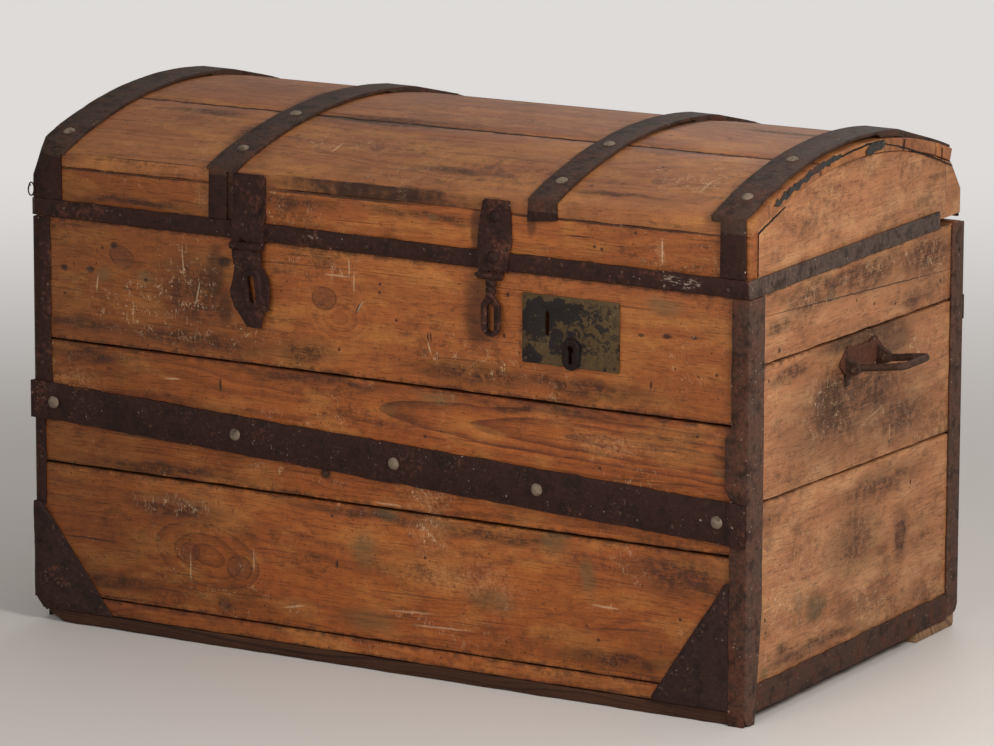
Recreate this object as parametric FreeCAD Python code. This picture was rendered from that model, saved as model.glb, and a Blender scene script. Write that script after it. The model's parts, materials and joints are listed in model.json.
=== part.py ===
"""Dome top trunk: nailed pine boards, a lid of curved boards, and forged iron straps.

Millimetres, +Z up, +X along the front towards the right end, +Y towards the back.
The origin is the middle of the trunk's outline on the floor.
"""
import FreeCAD
import Part

import os
from math import asin, cos, hypot, radians, sin, sqrt, tan

V = FreeCAD.Vector

# ---------------------------------------------------------------- driving sizes
case_length = 994.0            # over the wood, left end to right end
case_depth = 556.0             # over the wood, front to back
case_height = 515.0            # floor to the rim that the lid closes on
board_thickness = 22.0
board_gap = 2.5                # the boards have shrunk apart by this much
iron_thickness = 3.0           # corner irons, base straps, hinge leaves
strap_thickness = 4.0          # the heavier straps that lie over them
running_clearance = 0.05       # round a pin or beside a sliding bolt

# case: seams between the boards; a lower one is measured from the floor, an upper one from the rim
sill_height = 17.0
strip_top = 38.0
lower_seam = 204.0
front_top_board_width = 154.0
end_lower_seam = 258.0
end_lower_seam_fall = 14.0     # the seam drops by this much from front to back
end_top_board_width = 91.0     # at its middle
end_upper_seam_fall = 10.0
back_lower_seam = 186.0
back_top_board_width = 163.0
floor_board_thickness = 18.0
floor_board_count = 3
runner_width = 104.0

# case: irons
front_flange = 24.0            # of a corner iron, on the long side
narrow_flange = 14.0           # of the worn left iron, below the front band
end_flange = 38.0              # of a front corner iron, on the end
rear_end_flange = 30.0
iron_top_gap = 1.5             # corner irons stop this far below the rim
worn_corner = 34.0             # broken off the left front foot
rounded_corner = 12.0          # hammered round at the other feet
flange_taper = 15.0            # the right front iron's end flange is this much narrower at its foot
flange_taper_height = 135.0
flange_bulge = 8.0             # its other flange is wider by this much over the front band
flange_bulge_level = 315.0
flange_bulge_height = 84.0
base_strap_height = 33.0
base_strap_drop = 3.0          # below the end boards
gusset_left_width = 111.0
gusset_left_height = 136.0
gusset_return = 32.0           # the left one is bent round onto the end
gusset_right_width = 104.0
gusset_right_height = 155.0
gusset_thickness = 2.5
front_band_left_height = 46.0
front_band_right_height = 52.0
front_band_left_level = 283.0
front_band_right_level = 243.5
front_band_return = 27.0       # bent round onto the left end
back_band_height = 30.0
back_band_drop = 110.0         # rim to the middle of the back band
joggle_length = 8.0            # a strap steps down off a corner iron over this

# lock
lock_x = 260.5
lock_drop = 65.0               # rim to the middle of the plate
lock_plate_width = 131.0
lock_plate_height = 84.0
lock_plate_thickness = 2.5
staple_slot_x = 229.0
staple_slot_rise = 7.5         # above the middle of the plate
staple_slot_width = 5.6
staple_slot_height = 30.0
keyhole_x = 262.0
keyhole_fall = 20.0            # below the middle of the plate
keyhole_radius = 4.5
key_slot_width = 4.8
key_slot_length = 17.0
escutcheon_width = 23.0
escutcheon_height = 38.0
escutcheon_thickness = 3.5
mortise_margin = 1.5           # the wood is cut this much wider than the iron
lock_case_width = 116.0
lock_case_height = 76.0
lock_case_wall = 2.0
lock_bolt_thickness = 12.0
lock_bolt_height = 14.0
lock_bolt_length = 58.0
lock_bolt_set_back = 9.0       # from the middle of the staple slot, drawn
lock_guide_length = 40.0

# handles
handle_y = 10.0                # behind the middle of the end
handle_drop = 128.0            # rim to the bail's axle
handle_plate_width = 112.0
handle_plate_height = 40.0
handle_plate_lift = 6.0        # the plate's middle above the bail's axle
lug_spacing = 84.0
lug_thickness = 7.0
lug_radius = 7.5
lug_root_height = 27.0         # where it leaves the plate
lug_tail_length = 21.0         # the front eye's end hangs down this far below the axle
lug_tail_thickness = 3.0
axle_reach = 11.0              # plate face to the bail's axle
bail_radius = 4.5
bail_axle_radius = 3.5
bail_arm_length = 62.0
bail_bend = 12.0
bail_arm_clearance = 1.0
bail_rest_angle = 8.0          # above the horizontal, as it stands

# lid
lid_gap = 0.3                  # between the rim and the lid
lid_front_inset = 1.0
lid_back_inset = 2.0
lid_rail_thickness = 20.0
lid_back_rail_thickness = 40.0
lid_panel_thickness = 20.0
dome_radius = 763.0
lid_height = 131.2             # rim to the crown of the boards
crown_y = -8.0                 # the crown lies in front of the middle
dome_tilt = 0.545              # degrees by which the dome rises to the right
dome_tilt_x = -243.0           # it rises from here
dome_board_thickness = 16.0
dome_overhang = 2.0
dome_front_board_width = 171.0
dome_rear_board_width = 90.0
dome_back_board_width = 44.0   # the crown board takes what is left
dome_seam_gap = 1.2
seat_gap = 0.2                 # curved boards over the panels
back_bevel_run = 29.0          # planed off the back rail's outer corner
back_bevel_foot = 40.0         # rim to the foot of that slope
chipped_corner_length = 62.0
chipped_corner_rise = 9.0
worn_lid_run = 27.5            # the lid's left front corner is worn back by this much
worn_lid_drop = 36.0           # and down by this
worn_lid_length = 45.0         # and along by this

# lid irons
edge_band_height = 21.5
edge_band_shortfall = 63.0     # on the ends it stops this far from the back
band_radius = 785.0            # the straps are bent rounder than the boards
band_height = 132.7            # rim to the straps' inner face
band_clearance = 0.5
band_drop_start = 110.0        # from here back a strap leaves its own round
band_drop_end = 180.0          # and from here on it lies on the boards
loose_band_drop_end = 207.0    # the same for the right end band
end_band_width = 46.0
end_band_leg_width = 40.0
right_end_band_inset = 6.0     # from the boards' ends
right_end_band_lift = 3.0      # it has come loose by this much
left_hinge_band_front_x = -225.0
left_hinge_band_back_x = -196.0
left_hinge_band_width = 42.0
left_hinge_leg_x = -231.0
left_hinge_leg_width = 25.0
right_hinge_band_front_x = 221.0
right_hinge_band_back_x = 230.0
right_hinge_band_width = 38.0
torn_leg_length = 23.0         # all that is left of the right hinge band's front leg
band_shoulder_drop = 1.5       # a band narrows into its leg this far below the dome's front edge

# hinges at the back
hinge_knuckle_radius = 6.5
hinge_pin_radius = 3.0
hinge_stand_off = 7.0          # axle behind the back boards
hinge_leaf_width = 42.0
hinge_leaf_length = 84.0
knuckle_side_gap = 0.4
knuckle_free_gap = 1.5

# hasps on the front of the lid
hasp_knuckle_radius = 4.8
hasp_pin_radius = 2.3
hasp_axle_drop = 6.5           # below the rim
hasp_plate_top_drop = 2.0      # below the top edge of the dome board
left_hasp_x = -186.0
left_hasp_width = 45.0
left_hasp_knuckle = 22.0
leaf_right_side = [(21.0, -13.0), (21.0, -24.0), (26.0, -29.0), (31.0, -38.0), (33.0, -56.0),
                   (32.0, -76.0), (24.0, -80.0), (22.5, -89.0), (21.0, -99.5)]
leaf_left_side = [(1.0, -99.0), (-4.0, -92.0), (-11.0, -82.0), (-16.5, -77.0), (-22.0, -62.0),
                  (-23.0, -56.5), (-19.5, -46.0), (-16.5, -29.0), (-19.5, -13.0)]
hasp_slot_width = 10.0
hasp_slot_length = 34.0
hasp_slot_x = -177.0
hasp_slot_drop = 51.5          # axle to the slot's middle
hasp_slot_lean = 6.0           # degrees, its foot towards the right
hasp_rim_width = 8.0
hasp_rim_height = 2.4
right_hasp_x = 156.5
right_hasp_width = 46.0
right_hasp_foot_width = 36.0
hook_x = 156.0
hook_knuckle = 11.0
hook_shank_width = 15.0
hook_shank_length = 25.0
hook_twist = 270.0
hook_eye_width = 26.0
hook_eye_height = 48.0
hook_hole_width = 11.0
hook_hole_height = 34.0
hook_eye_thickness = 6.0

# domed nails
nail_radius = 8.0
nail_height = 3.6
front_band_left_nail_inset = 30.0
front_band_right_nail_inset = 41.0
front_band_middle_nail_xs = (-207.0, 18.5, 216.5)
band_front_nail_insets = (42.0, 154.0)   # from the lid's front
band_back_nail_inset = 42.0
hasp_nail_x = 157.0
hasp_nail_rises = (63.5, 15.2)           # rim to the nails of the right hasp

# ---------------------------------------------------------------- worked-out places
half_length = case_length / 2
half_depth = case_depth / 2
inner_half_length = half_length - board_thickness
inner_half_depth = half_depth - board_thickness
iron_x = half_length + iron_thickness
iron_y = half_depth + iron_thickness
iron_top = case_height - iron_top_gap
upper_seam = case_height - front_top_board_width
end_upper_seam = case_height - end_top_board_width
back_upper_seam = case_height - back_top_board_width
back_band_level = case_height - back_band_drop
lock_level = case_height - lock_drop
staple_slot_level = lock_level + staple_slot_rise
keyhole_level = lock_level - keyhole_fall
handle_level = case_height - handle_drop

lid_base = case_height + lid_gap
crown_level = lid_base + lid_height
lid_front = -half_depth + lid_front_inset
lid_back = half_depth - lid_back_inset
lid_inner_front = lid_front + lid_rail_thickness
lid_inner_back = lid_back - lid_back_rail_thickness
dome_end = lid_back - back_bevel_run
dome_seam_back = dome_end - dome_back_board_width
dome_seam_rear = dome_seam_back - dome_rear_board_width
dome_seam_front = lid_front + dome_front_board_width
edge_band_end_y = lid_back - edge_band_shortfall
dome_centre = crown_level - dome_radius
dome_under = dome_radius - dome_board_thickness
band_centre = lid_base + band_height - band_radius
bevel_foot = lid_base + back_bevel_foot
hinge_y = half_depth + hinge_stand_off
hinge_level = case_height + lid_gap / 2
hasp_y = -(hinge_y + hinge_knuckle_radius - hasp_knuckle_radius)
hasp_level = case_height - hasp_axle_drop
axle_x = iron_x + axle_reach


def outer_level(y):
    """Height of the dome boards' outer face where the dome begins to rise."""
    return dome_centre + sqrt(dome_radius ** 2 - (y - crown_y) ** 2)


def under_level(y):
    """Height of the dome boards' inner face there."""
    return dome_centre + sqrt(dome_under ** 2 - (y - crown_y) ** 2)


def dome_rise(x):
    """How much higher the dome is at a place along the front."""
    return (x - dome_tilt_x) * tan(radians(dome_tilt))


def front_band_level(x):
    """Middle height of the sloping front band."""
    share = (x + half_length) / case_length
    return front_band_left_level + (front_band_right_level - front_band_left_level) * share


# ---------------------------------------------------------------- building blocks
def box(x0, x1, y0, y1, z0, z1):
    return Part.makeBox(x1 - x0, y1 - y0, z1 - z0, V(x0, y0, z0))


def prism(points, reach):
    """A closed outline of points pushed along a vector."""
    outline = Part.makePolygon(points + [points[0]])
    return Part.Face(outline).extrude(reach)


def across_x(outline, x0, x1):
    """An outline in (y, z) between two x places."""
    return prism([V(x0, y, z) for y, z in outline], V(x1 - x0, 0, 0))


def across_y(outline, y0, y1):
    """An outline in (x, z) between two y places."""
    return prism([V(x, y0, z) for x, z in outline], V(0, y1 - y0, 0))


def across_z(outline, z0, z1):
    """An outline in (x, y) between two heights."""
    return prism([V(x, y, z0) for x, y in outline], V(0, 0, z1 - z0))


def rod(radius, start, end):
    """A round bar from one point to another."""
    way = end.sub(start)
    return Part.makeCylinder(radius, way.Length, start, way)


def rod_x(radius, x0, x1, y, z):
    return rod(radius, V(x0, y, z), V(x1, y, z))


def fuse(shapes):
    whole = shapes[0]
    for shape in shapes[1:]:
        whole = whole.fuse(shape)
    return whole.removeSplitter()


def mirrored_x(shape):
    return shape.mirror(V(0, 0, 0), V(1, 0, 0))


def oval(width, height, x, z, y0, y1):
    """A long round-ended slot or boss standing along Z, between two y places."""
    radius = width / 2
    reach = height / 2 - radius
    bar = box(x - radius, x + radius, y0, y1, z - reach, z + reach)
    ends = [rod(radius, V(x, y0, z + side * reach), V(x, y1, z + side * reach)) for side in (-1, 1)]
    return fuse([bar] + ends)


def domed_nail(place, way):
    """The head of a hammered nail, lying on a face whose outward normal is given."""
    ball_radius = (nail_radius ** 2 + nail_height ** 2) / (2 * nail_height)
    rim = V(nail_radius, 0, 0)
    top = V(0, 0, nail_height)
    half_angle = asin(nail_radius / ball_radius) / 2
    middle = V(ball_radius * sin(half_angle), 0, nail_height - ball_radius * (1 - cos(half_angle)))
    outline = Part.Wire([
        Part.LineSegment(V(0, 0, 0), rim).toShape(),
        Part.Arc(rim, middle, top).toShape(),
        Part.LineSegment(top, V(0, 0, 0)).toShape(),
    ])
    head = Part.Face(outline).revolve(V(0, 0, 0), V(0, 0, 1), 360)
    head.Placement = FreeCAD.Placement(place, FreeCAD.Rotation(V(0, 0, 1), way))
    return head


# ---------------------------------------------------------------- case: wood
def worn_foot():
    """What has broken off the left front foot."""
    reach = iron_x + 5
    return across_y([(-reach, -5), (-iron_x + worn_corner, -5), (-iron_x + worn_corner, 0),
                     (-iron_x + worn_corner * 0.44, worn_corner * 0.36),
                     (-iron_x, worn_corner * 0.9), (-reach, worn_corner * 0.9)],
                    -iron_y - 5, -half_depth + board_thickness)


def front_wood():
    """Three boards, a narrow strip and the sill, from the floor up."""
    gap = board_gap / 2
    levels = [("front_sill", 0, sill_height),
              ("front_strip", sill_height, strip_top - gap / 2),
              ("front_board_lower", strip_top + gap / 2, lower_seam - gap),
              ("front_board_middle", lower_seam + gap, upper_seam - gap),
              ("front_board_top", upper_seam + gap, case_height)]
    boards = {}
    for name, low, high in levels:
        boards[name] = box(-half_length, half_length, -half_depth, -inner_half_depth, low, high)
    for name in ("front_sill", "front_strip"):
        boards[name] = boards[name].cut(worn_foot())
    slot = oval(staple_slot_width + 2 * mortise_margin, staple_slot_height + 2 * mortise_margin,
                staple_slot_x, staple_slot_level, -half_depth, -inner_half_depth)
    key = box(keyhole_x - keyhole_radius - mortise_margin, keyhole_x + keyhole_radius + mortise_margin,
              -half_depth, -inner_half_depth,
              keyhole_level - key_slot_length - mortise_margin,
              keyhole_level + keyhole_radius + mortise_margin)
    boards["front_board_top"] = boards["front_board_top"].cut(slot).cut(key)
    return boards


def end_wood(side):
    """Three boards between front and back, with seams that fall towards the back."""
    gap = board_gap / 2
    inner, outer = sorted((side * inner_half_length, side * half_length))

    def board(low_front, low_back, high_front, high_back):
        return across_x([(-inner_half_depth, low_front), (inner_half_depth, low_back),
                         (inner_half_depth, high_back), (-inner_half_depth, high_front)], inner, outer)

    lower = (end_lower_seam + end_lower_seam_fall / 2, end_lower_seam - end_lower_seam_fall / 2)
    upper = (end_upper_seam + end_upper_seam_fall / 2, end_upper_seam - end_upper_seam_fall / 2)
    return {
        "end_board_lower": board(sill_height, sill_height, lower[0] - gap, lower[1] - gap),
        "end_board_middle": board(lower[0] + gap, lower[1] + gap, upper[0] - gap, upper[1] - gap),
        "end_board_top": board(upper[0] + gap, upper[1] + gap, case_height, case_height),
    }


def back_wood():
    gap = board_gap / 2
    seams = [("back_board_lower", sill_height, back_lower_seam - gap),
             ("back_board_middle", back_lower_seam + gap, back_upper_seam - gap),
             ("back_board_top", back_upper_seam + gap, case_height)]
    return {name: box(-half_length, half_length, inner_half_depth, half_depth, low, high)
            for name, low, high in seams}


def floor_wood():
    """Boards laid lengthwise between the four walls."""
    names = ["floor_board_front", "floor_board_middle", "floor_board_rear"]
    pitch = 2 * inner_half_depth / floor_board_count
    boards = {}
    for index, name in enumerate(names):
        near = -inner_half_depth + index * pitch + (board_gap / 2 if index else 0)
        last = index == floor_board_count - 1
        far = -inner_half_depth + (index + 1) * pitch - (0 if last else board_gap / 2)
        boards[name] = box(-inner_half_length, inner_half_length, near, far,
                           sill_height, sill_height + floor_board_thickness)
    return boards


def rear_runner():
    """A batten under the back edge that props the trunk level with the front sill."""
    runner = box(-half_length, half_length, half_depth - runner_width, half_depth, 0, sill_height)
    edges = [e for e in runner.Edges
             if abs(e.CenterOfMass.z) < 0.1 and abs(e.CenterOfMass.x) < 0.1 and e.CenterOfMass.y > 0]
    far = [e for e in edges if abs(e.CenterOfMass.y - half_depth) < 0.1]
    return runner.makeFillet(5.0, far)


# ---------------------------------------------------------------- case: irons
def corner_iron(side_x, side_y, low, on_end):
    """An angle iron bent over one upright corner; the flange on the end can differ."""
    def corner(x, y):
        return (side_x * x, side_y * y)

    reach_x = iron_x - front_flange
    reach_y = iron_y - on_end
    return across_z([corner(iron_x, iron_y), corner(reach_x, iron_y), corner(reach_x, half_depth),
                     corner(half_length, half_depth), corner(half_length, reach_y),
                     corner(iron_x, reach_y)], low, iron_top)


def foot_rounding(side_y, low):
    """The wedge taken off a foot, seen from the end."""
    size = rounded_corner
    inner = -size / 2
    outline = [(side_y * (iron_y + 1), low + inner), (side_y * (iron_y - size), low + inner),
               (side_y * (iron_y - size), low), (side_y * (iron_y - size / 3), low + size / 3),
               (side_y * iron_y, low + size), (side_y * (iron_y + 1), low + size)]
    return across_x(outline, half_length, iron_x + 1)


def front_right_iron():
    """The right front iron: one flange bulges over the band, the other narrows to its foot."""
    edge = iron_x - front_flange
    half = flange_bulge_height / 2
    bulge = across_y([(edge + 1, flange_bulge_level - half), (edge, flange_bulge_level - half),
                      (edge - flange_bulge, flange_bulge_level - half * 0.7),
                      (edge - flange_bulge, flange_bulge_level + half * 0.7),
                      (edge, flange_bulge_level + half), (edge + 1, flange_bulge_level + half)],
                     -iron_y, -half_depth)
    end_edge = -iron_y + end_flange
    taper = across_x([(end_edge + 1, flange_taper_height), (end_edge, flange_taper_height),
                      (end_edge - flange_taper, 0), (end_edge - flange_taper, -1), (end_edge + 1, -1)],
                     half_length - 1, iron_x + 1)
    iron = fuse([corner_iron(1, -1, 0, end_flange), bulge])
    return iron.cut(taper).cut(foot_rounding(-1, 0))


def corner_irons():
    irons = {}
    left = corner_iron(-1, -1, 0, end_flange)
    narrow_x = iron_x - narrow_flange
    band_low = front_band_left_level - front_band_left_height / 2
    left = left.cut(box(-narrow_x, -iron_x + front_flange + 1, -iron_y - 1, -half_depth, -1, band_low))
    irons["front_left_corner_iron"] = left.cut(worn_foot())
    irons["front_right_corner_iron"] = front_right_iron()
    rear = corner_iron(1, 1, sill_height, rear_end_flange).cut(foot_rounding(1, sill_height))
    irons["back_right_corner_iron"] = rear
    irons["back_left_corner_iron"] = mirrored_x(rear)
    return irons


def base_strap(side):
    """The flat iron along the foot of one end, between the corner irons."""
    low = sill_height - base_strap_drop
    near = -iron_y + end_flange - (flange_taper if side > 0 else 0)
    far = iron_y - rear_end_flange
    inner, outer = sorted((side * half_length, side * iron_x))
    return box(inner, outer, near, far, low, low + base_strap_height)


def right_gusset():
    """A three-cornered plate nailed over the lower right corner, against its iron."""
    edge = iron_x - front_flange
    low = sill_height
    high = low + gusset_right_height
    outline = [(edge, low), (edge, high), (edge - 6, high), (edge - gusset_right_width, low + 4),
               (edge - gusset_right_width + 3, low)]
    return across_y(outline, -half_depth - gusset_thickness, -half_depth)


def left_gusset():
    """A three-cornered plate bent round the lower left corner, over its iron."""
    t = gusset_thickness
    low = sill_height
    high = low + gusset_left_height
    edge = -iron_x + narrow_flange
    tip = -iron_x + gusset_left_width
    end_y = -iron_y + gusset_return
    reach = -iron_x - t - 1
    sheet = across_z([(-iron_x, end_y), (-iron_x, -iron_y), (edge, -iron_y),
                      (edge + joggle_length, -half_depth), (tip, -half_depth),
                      (tip, -half_depth - t), (edge + joggle_length, -half_depth - t),
                      (edge, -iron_y - t), (-iron_x - t, -iron_y - t), (-iron_x - t, end_y)], low, high)
    face = across_y([(reach, low), (tip, low), (tip - 3, low + 4), (edge - 6, high), (reach, high)],
                    -iron_y - t - 1, end_y + 1)
    return sheet.common(face).cut(worn_foot())


def front_band():
    """A broad strap that slopes down across the front and bends round the left corner."""
    step = iron_thickness
    t = strap_thickness
    left_edge = -iron_x + front_flange
    right_edge = iron_x - front_flange
    near = -half_depth
    end_y = -iron_y + front_band_return
    inside = [(-iron_x, end_y), (-iron_x, near - step), (left_edge, near - step),
              (left_edge + joggle_length, near), (right_edge - joggle_length, near),
              (right_edge, near - step), (iron_x - 3, near - step)]
    outside = [(iron_x - 3, near - step - t), (right_edge, near - step - t),
               (right_edge - joggle_length, near - t), (left_edge + joggle_length, near - t),
               (left_edge, near - step - t), (-iron_x - t, near - step - t), (-iron_x - t, end_y)]
    margin = 40.0
    low = front_band_right_level - margin
    high = front_band_left_level + margin
    strip = across_z(inside + outside, low, high)
    left_half = front_band_left_height / 2
    right_half = front_band_right_height / 2
    reach = iron_x + t + 1

    def level(x):
        return front_band_level(x)

    face = across_y([(-reach, level(-reach) - left_half), (reach, level(reach) - right_half),
                     (reach, level(reach) + right_half), (-reach, level(-reach) + left_half)],
                    -iron_y - t - 1, end_y + 1)
    return strip.common(face)


def back_band():
    """A plain strap across the back, over both corner irons."""
    t = strap_thickness
    edge = iron_x - front_flange
    far = half_depth + iron_thickness
    inside = [(-iron_x, far), (-edge, far), (-edge + joggle_length, half_depth),
              (edge - joggle_length, half_depth), (edge, far), (iron_x, far)]
    outside = [(x, y + t) for x, y in reversed(inside)]
    return across_z(inside + outside, back_band_level - back_band_height / 2,
                    back_band_level + back_band_height / 2)


def front_band_nails():
    heads = []
    xs = [front_band_left_nail_inset - iron_x, *front_band_middle_nail_xs,
          iron_x - front_band_right_nail_inset]
    for x in xs:
        over_iron = abs(x) > iron_x - front_flange - nail_radius - joggle_length
        y = -half_depth - strap_thickness - (iron_thickness if over_iron else 0)
        heads.append(domed_nail(V(x, y, front_band_level(x)), V(0, -1, 0)))
    return Part.makeCompound(heads)


# ---------------------------------------------------------------- lock
def lock_plate():
    near = -half_depth - lock_plate_thickness
    plate = box(lock_x - lock_plate_width / 2, lock_x + lock_plate_width / 2, near, -half_depth,
                lock_level - lock_plate_height / 2, lock_level + lock_plate_height / 2)
    slot = oval(staple_slot_width, staple_slot_height, staple_slot_x, staple_slot_level,
                near, -half_depth)
    return plate.cut(slot).cut(keyhole(near, -half_depth))


def keyhole(y0, y1):
    """A round hole with a slot for the key's bit below it."""
    barrel = rod(keyhole_radius, V(keyhole_x, y0, keyhole_level), V(keyhole_x, y1, keyhole_level))
    bit = box(keyhole_x - key_slot_width / 2, keyhole_x + key_slot_width / 2, y0, y1,
              keyhole_level - key_slot_length, keyhole_level)
    return fuse([barrel, bit])


def escutcheon():
    """The raised oval round the keyhole."""
    far = -half_depth - lock_plate_thickness
    near = far - escutcheon_thickness
    middle = keyhole_level - (key_slot_length - keyhole_radius) / 2
    boss = oval(escutcheon_width, escutcheon_height, keyhole_x, middle, near, far)
    rim = [e for e in boss.Edges if abs(e.CenterOfMass.y - near) < 0.1]
    return boss.makeFillet(escutcheon_thickness * 0.6, rim).cut(keyhole(near, far))


def lock_bolt_level():
    return staple_slot_level


def lock_case():
    """A shallow iron tray behind the front board, with two guides for the bolt."""
    near = -inner_half_depth
    depth = lock_bolt_thickness + 2 * running_clearance
    far = near + depth + lock_case_wall
    half_width = lock_case_width / 2
    half_height = lock_case_height / 2
    tray = box(lock_x - half_width, lock_x + half_width, near, far,
               lock_level - half_height, lock_level + half_height)
    wall = lock_case_wall
    tray = tray.cut(box(lock_x - half_width + wall, lock_x + half_width - wall, near, near + depth,
                        lock_level - half_height + wall, lock_level + half_height - wall))
    start = staple_slot_x + lock_bolt_set_back + lock_guide_length / 2
    guides = []
    for side in (-1, 1):
        edge = lock_bolt_level() + side * (lock_bolt_height / 2 + running_clearance)
        low, high = sorted((edge, edge + side * wall))
        guides.append(box(start, start + lock_guide_length, near, near + depth, low, high))
    return fuse([tray] + guides)


def lock_bolt():
    """The bolt that slides across the slot to catch a staple."""
    near = -inner_half_depth + running_clearance
    start = staple_slot_x + lock_bolt_set_back
    half = lock_bolt_height / 2
    level = lock_bolt_level()
    bar = box(start, start + lock_bolt_length, near, near + lock_bolt_thickness,
              level - half, level + half)
    talon = across_y([(start + lock_bolt_length * 0.45, level - half - 1),
                      (start + lock_bolt_length * 0.45, level - half),
                      (start + lock_bolt_length * 0.48, level - half + 4),
                      (start + lock_bolt_length * 0.57, level - half + 4),
                      (start + lock_bolt_length * 0.60, level - half),
                      (start + lock_bolt_length * 0.60, level - half - 1)],
                     near, near + lock_bolt_thickness)
    return bar.cut(talon)


# ---------------------------------------------------------------- handles (right end)
def handle_plate():
    """A long plate with waisted, pointed ends."""
    level = handle_level + handle_plate_lift
    half = handle_plate_width / 2
    high = handle_plate_height / 2
    waist = lug_spacing / 2 - 14
    quarter = [(half, high * 0.15), (half - 9, high * 0.55), (half - 20, high),
               (waist, high), (waist - 7, high * 0.78)]
    right_top = [(y, z) for y, z in quarter]
    left_top = [(-y, z) for y, z in reversed(quarter)]
    top = right_top + left_top
    bottom = [(-y, -z) for y, z in right_top] + [(-y, -z) for y, z in left_top]
    outline = [(handle_y + y, level + z) for y, z in top + bottom]
    return across_x(outline, half_length, iron_x)


def handle_lugs():
    """The two eyes that stand out of the plate and hold the bail's axle; one has a tail."""
    lugs = []
    for side in (-1, 1):
        y0 = handle_y + side * lug_spacing / 2 - lug_thickness / 2
        y1 = y0 + lug_thickness
        head = rod(lug_radius, V(axle_x, y0, handle_level), V(axle_x, y1, handle_level))
        root = across_y([(iron_x, handle_level - lug_root_height / 2),
                         (axle_x, handle_level - lug_radius), (axle_x, handle_level + lug_radius),
                         (iron_x, handle_level + lug_root_height / 2)], y0, y1)
        hole = rod(bail_axle_radius + running_clearance, V(axle_x, y0 - 1, handle_level),
                   V(axle_x, y1 + 1, handle_level))
        eye = [head, root]
        if side < 0:
            eye.append(box(iron_x, iron_x + lug_tail_thickness, y0, y1,
                           handle_level - lug_tail_length, handle_level))
        lugs.append(fuse(eye).cut(hole))
    return lugs


def elbow(centre, start_angle, bar_radius):
    """A quarter bend in the x-y plane round a centre, starting at an angle from +X."""
    ring = Part.makeTorus(bail_bend, bar_radius, centre, V(0, 0, 1), -180, 180, 90)
    ring.rotate(centre, V(0, 0, 1), start_angle)
    return ring


def bail():
    """A round bar bent to three sides, its ends turned out through the eyes."""
    arm_y = lug_spacing / 2 - lug_thickness / 2 - bail_arm_clearance - bail_radius
    tip = axle_x + bail_arm_length
    end_y = lug_spacing / 2 + lug_thickness / 2 + 2.0
    z = handle_level
    parts = [rod(bail_radius, V(tip, handle_y - arm_y + bail_bend, z),
                 V(tip, handle_y + arm_y - bail_bend, z))]
    for side in (-1, 1):
        y = handle_y + side * arm_y
        parts.append(rod(bail_radius, V(axle_x, y, z), V(tip - bail_bend, y, z)))
        centre = V(tip - bail_bend, handle_y + side * (arm_y - bail_bend), z)
        parts.append(elbow(centre, 0 if side > 0 else -90, bail_radius))
        parts.append(Part.makeSphere(bail_radius, V(axle_x, y, z)))
        parts.append(rod(bail_axle_radius, V(axle_x, y, z), V(axle_x, handle_y + side * end_y, z)))
    whole = fuse(parts)
    whole.rotate(V(axle_x, handle_y, z), V(0, -1, 0), bail_rest_angle)
    return whole


# ---------------------------------------------------------------- back hinges
def knuckle(width, x, y, z, radius, hole):
    """A rolled barrel, centred on x."""
    barrel = rod_x(radius, x - width / 2, x + width / 2, y, z)
    return barrel.cut(rod_x(hole, x - width / 2 - 1, x + width / 2 + 1, y, z))


def hinge_xs():
    """Middle of each hinge along the back, where its band comes down."""
    return {"left": left_hinge_band_back_x, "right": right_hinge_band_back_x}


def hinge_leaf(x):
    """The case half of a strap hinge: a leaf down the back boards and two knuckles."""
    third = hinge_leaf_width / 3
    half = hinge_leaf_width / 2
    top = hinge_level
    leaf = box(x - half, x + half, half_depth, iron_y, case_height - hinge_leaf_length, top)
    free = box(x - third / 2 - knuckle_side_gap, x + third / 2 + knuckle_side_gap,
               half_depth - 1, iron_y + 1, hinge_level - hinge_knuckle_radius - knuckle_free_gap,
               hinge_level + 1)
    hole = hinge_pin_radius + running_clearance
    barrels = []
    for side in (-1, 1):
        middle = x + side * third
        barrels.append(rod_x(hinge_knuckle_radius, middle - third / 2 + knuckle_side_gap / 2,
                             middle + third / 2 - knuckle_side_gap / 2, hinge_y, hinge_level))
    leaf = fuse([leaf.cut(free)] + barrels)
    over = box(x - half - 1, x + half + 1, half_depth - 1, hinge_y, hinge_level,
               hinge_level + hinge_knuckle_radius + 1)
    keep = rod_x(hinge_knuckle_radius, x - half, x + half, hinge_y, hinge_level)
    leaf = leaf.cut(over.cut(keep))
    return leaf.cut(rod_x(hole, x - half - 1, x + half + 1, hinge_y, hinge_level))


def hinge_pins():
    half = hinge_leaf_width / 2 + 1.5
    return Part.makeCompound([rod_x(hinge_pin_radius, x - half, x + half, hinge_y, hinge_level)
                              for x in hinge_xs().values()])


# ---------------------------------------------------------------- lid: wood
def tilted(shape):
    """A shape turned so that it rises to the right as the dome does."""
    shape.rotate(V(dome_tilt_x, 0, crown_level), V(0, -1, 0), dome_tilt)
    return shape


def below_dome():
    """The round space that the dome boards close, a little smaller than they are."""
    reach = half_length + 30
    return tilted(rod_x(dome_under - seat_gap, -reach, reach, crown_y, dome_centre))


def under_dome(y0, y1, x0, x1):
    """A slab from the lid's base up to the dome boards' seat."""
    return box(x0, x1, y0, y1, lid_base, crown_level + 40).common(below_dome())


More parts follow.
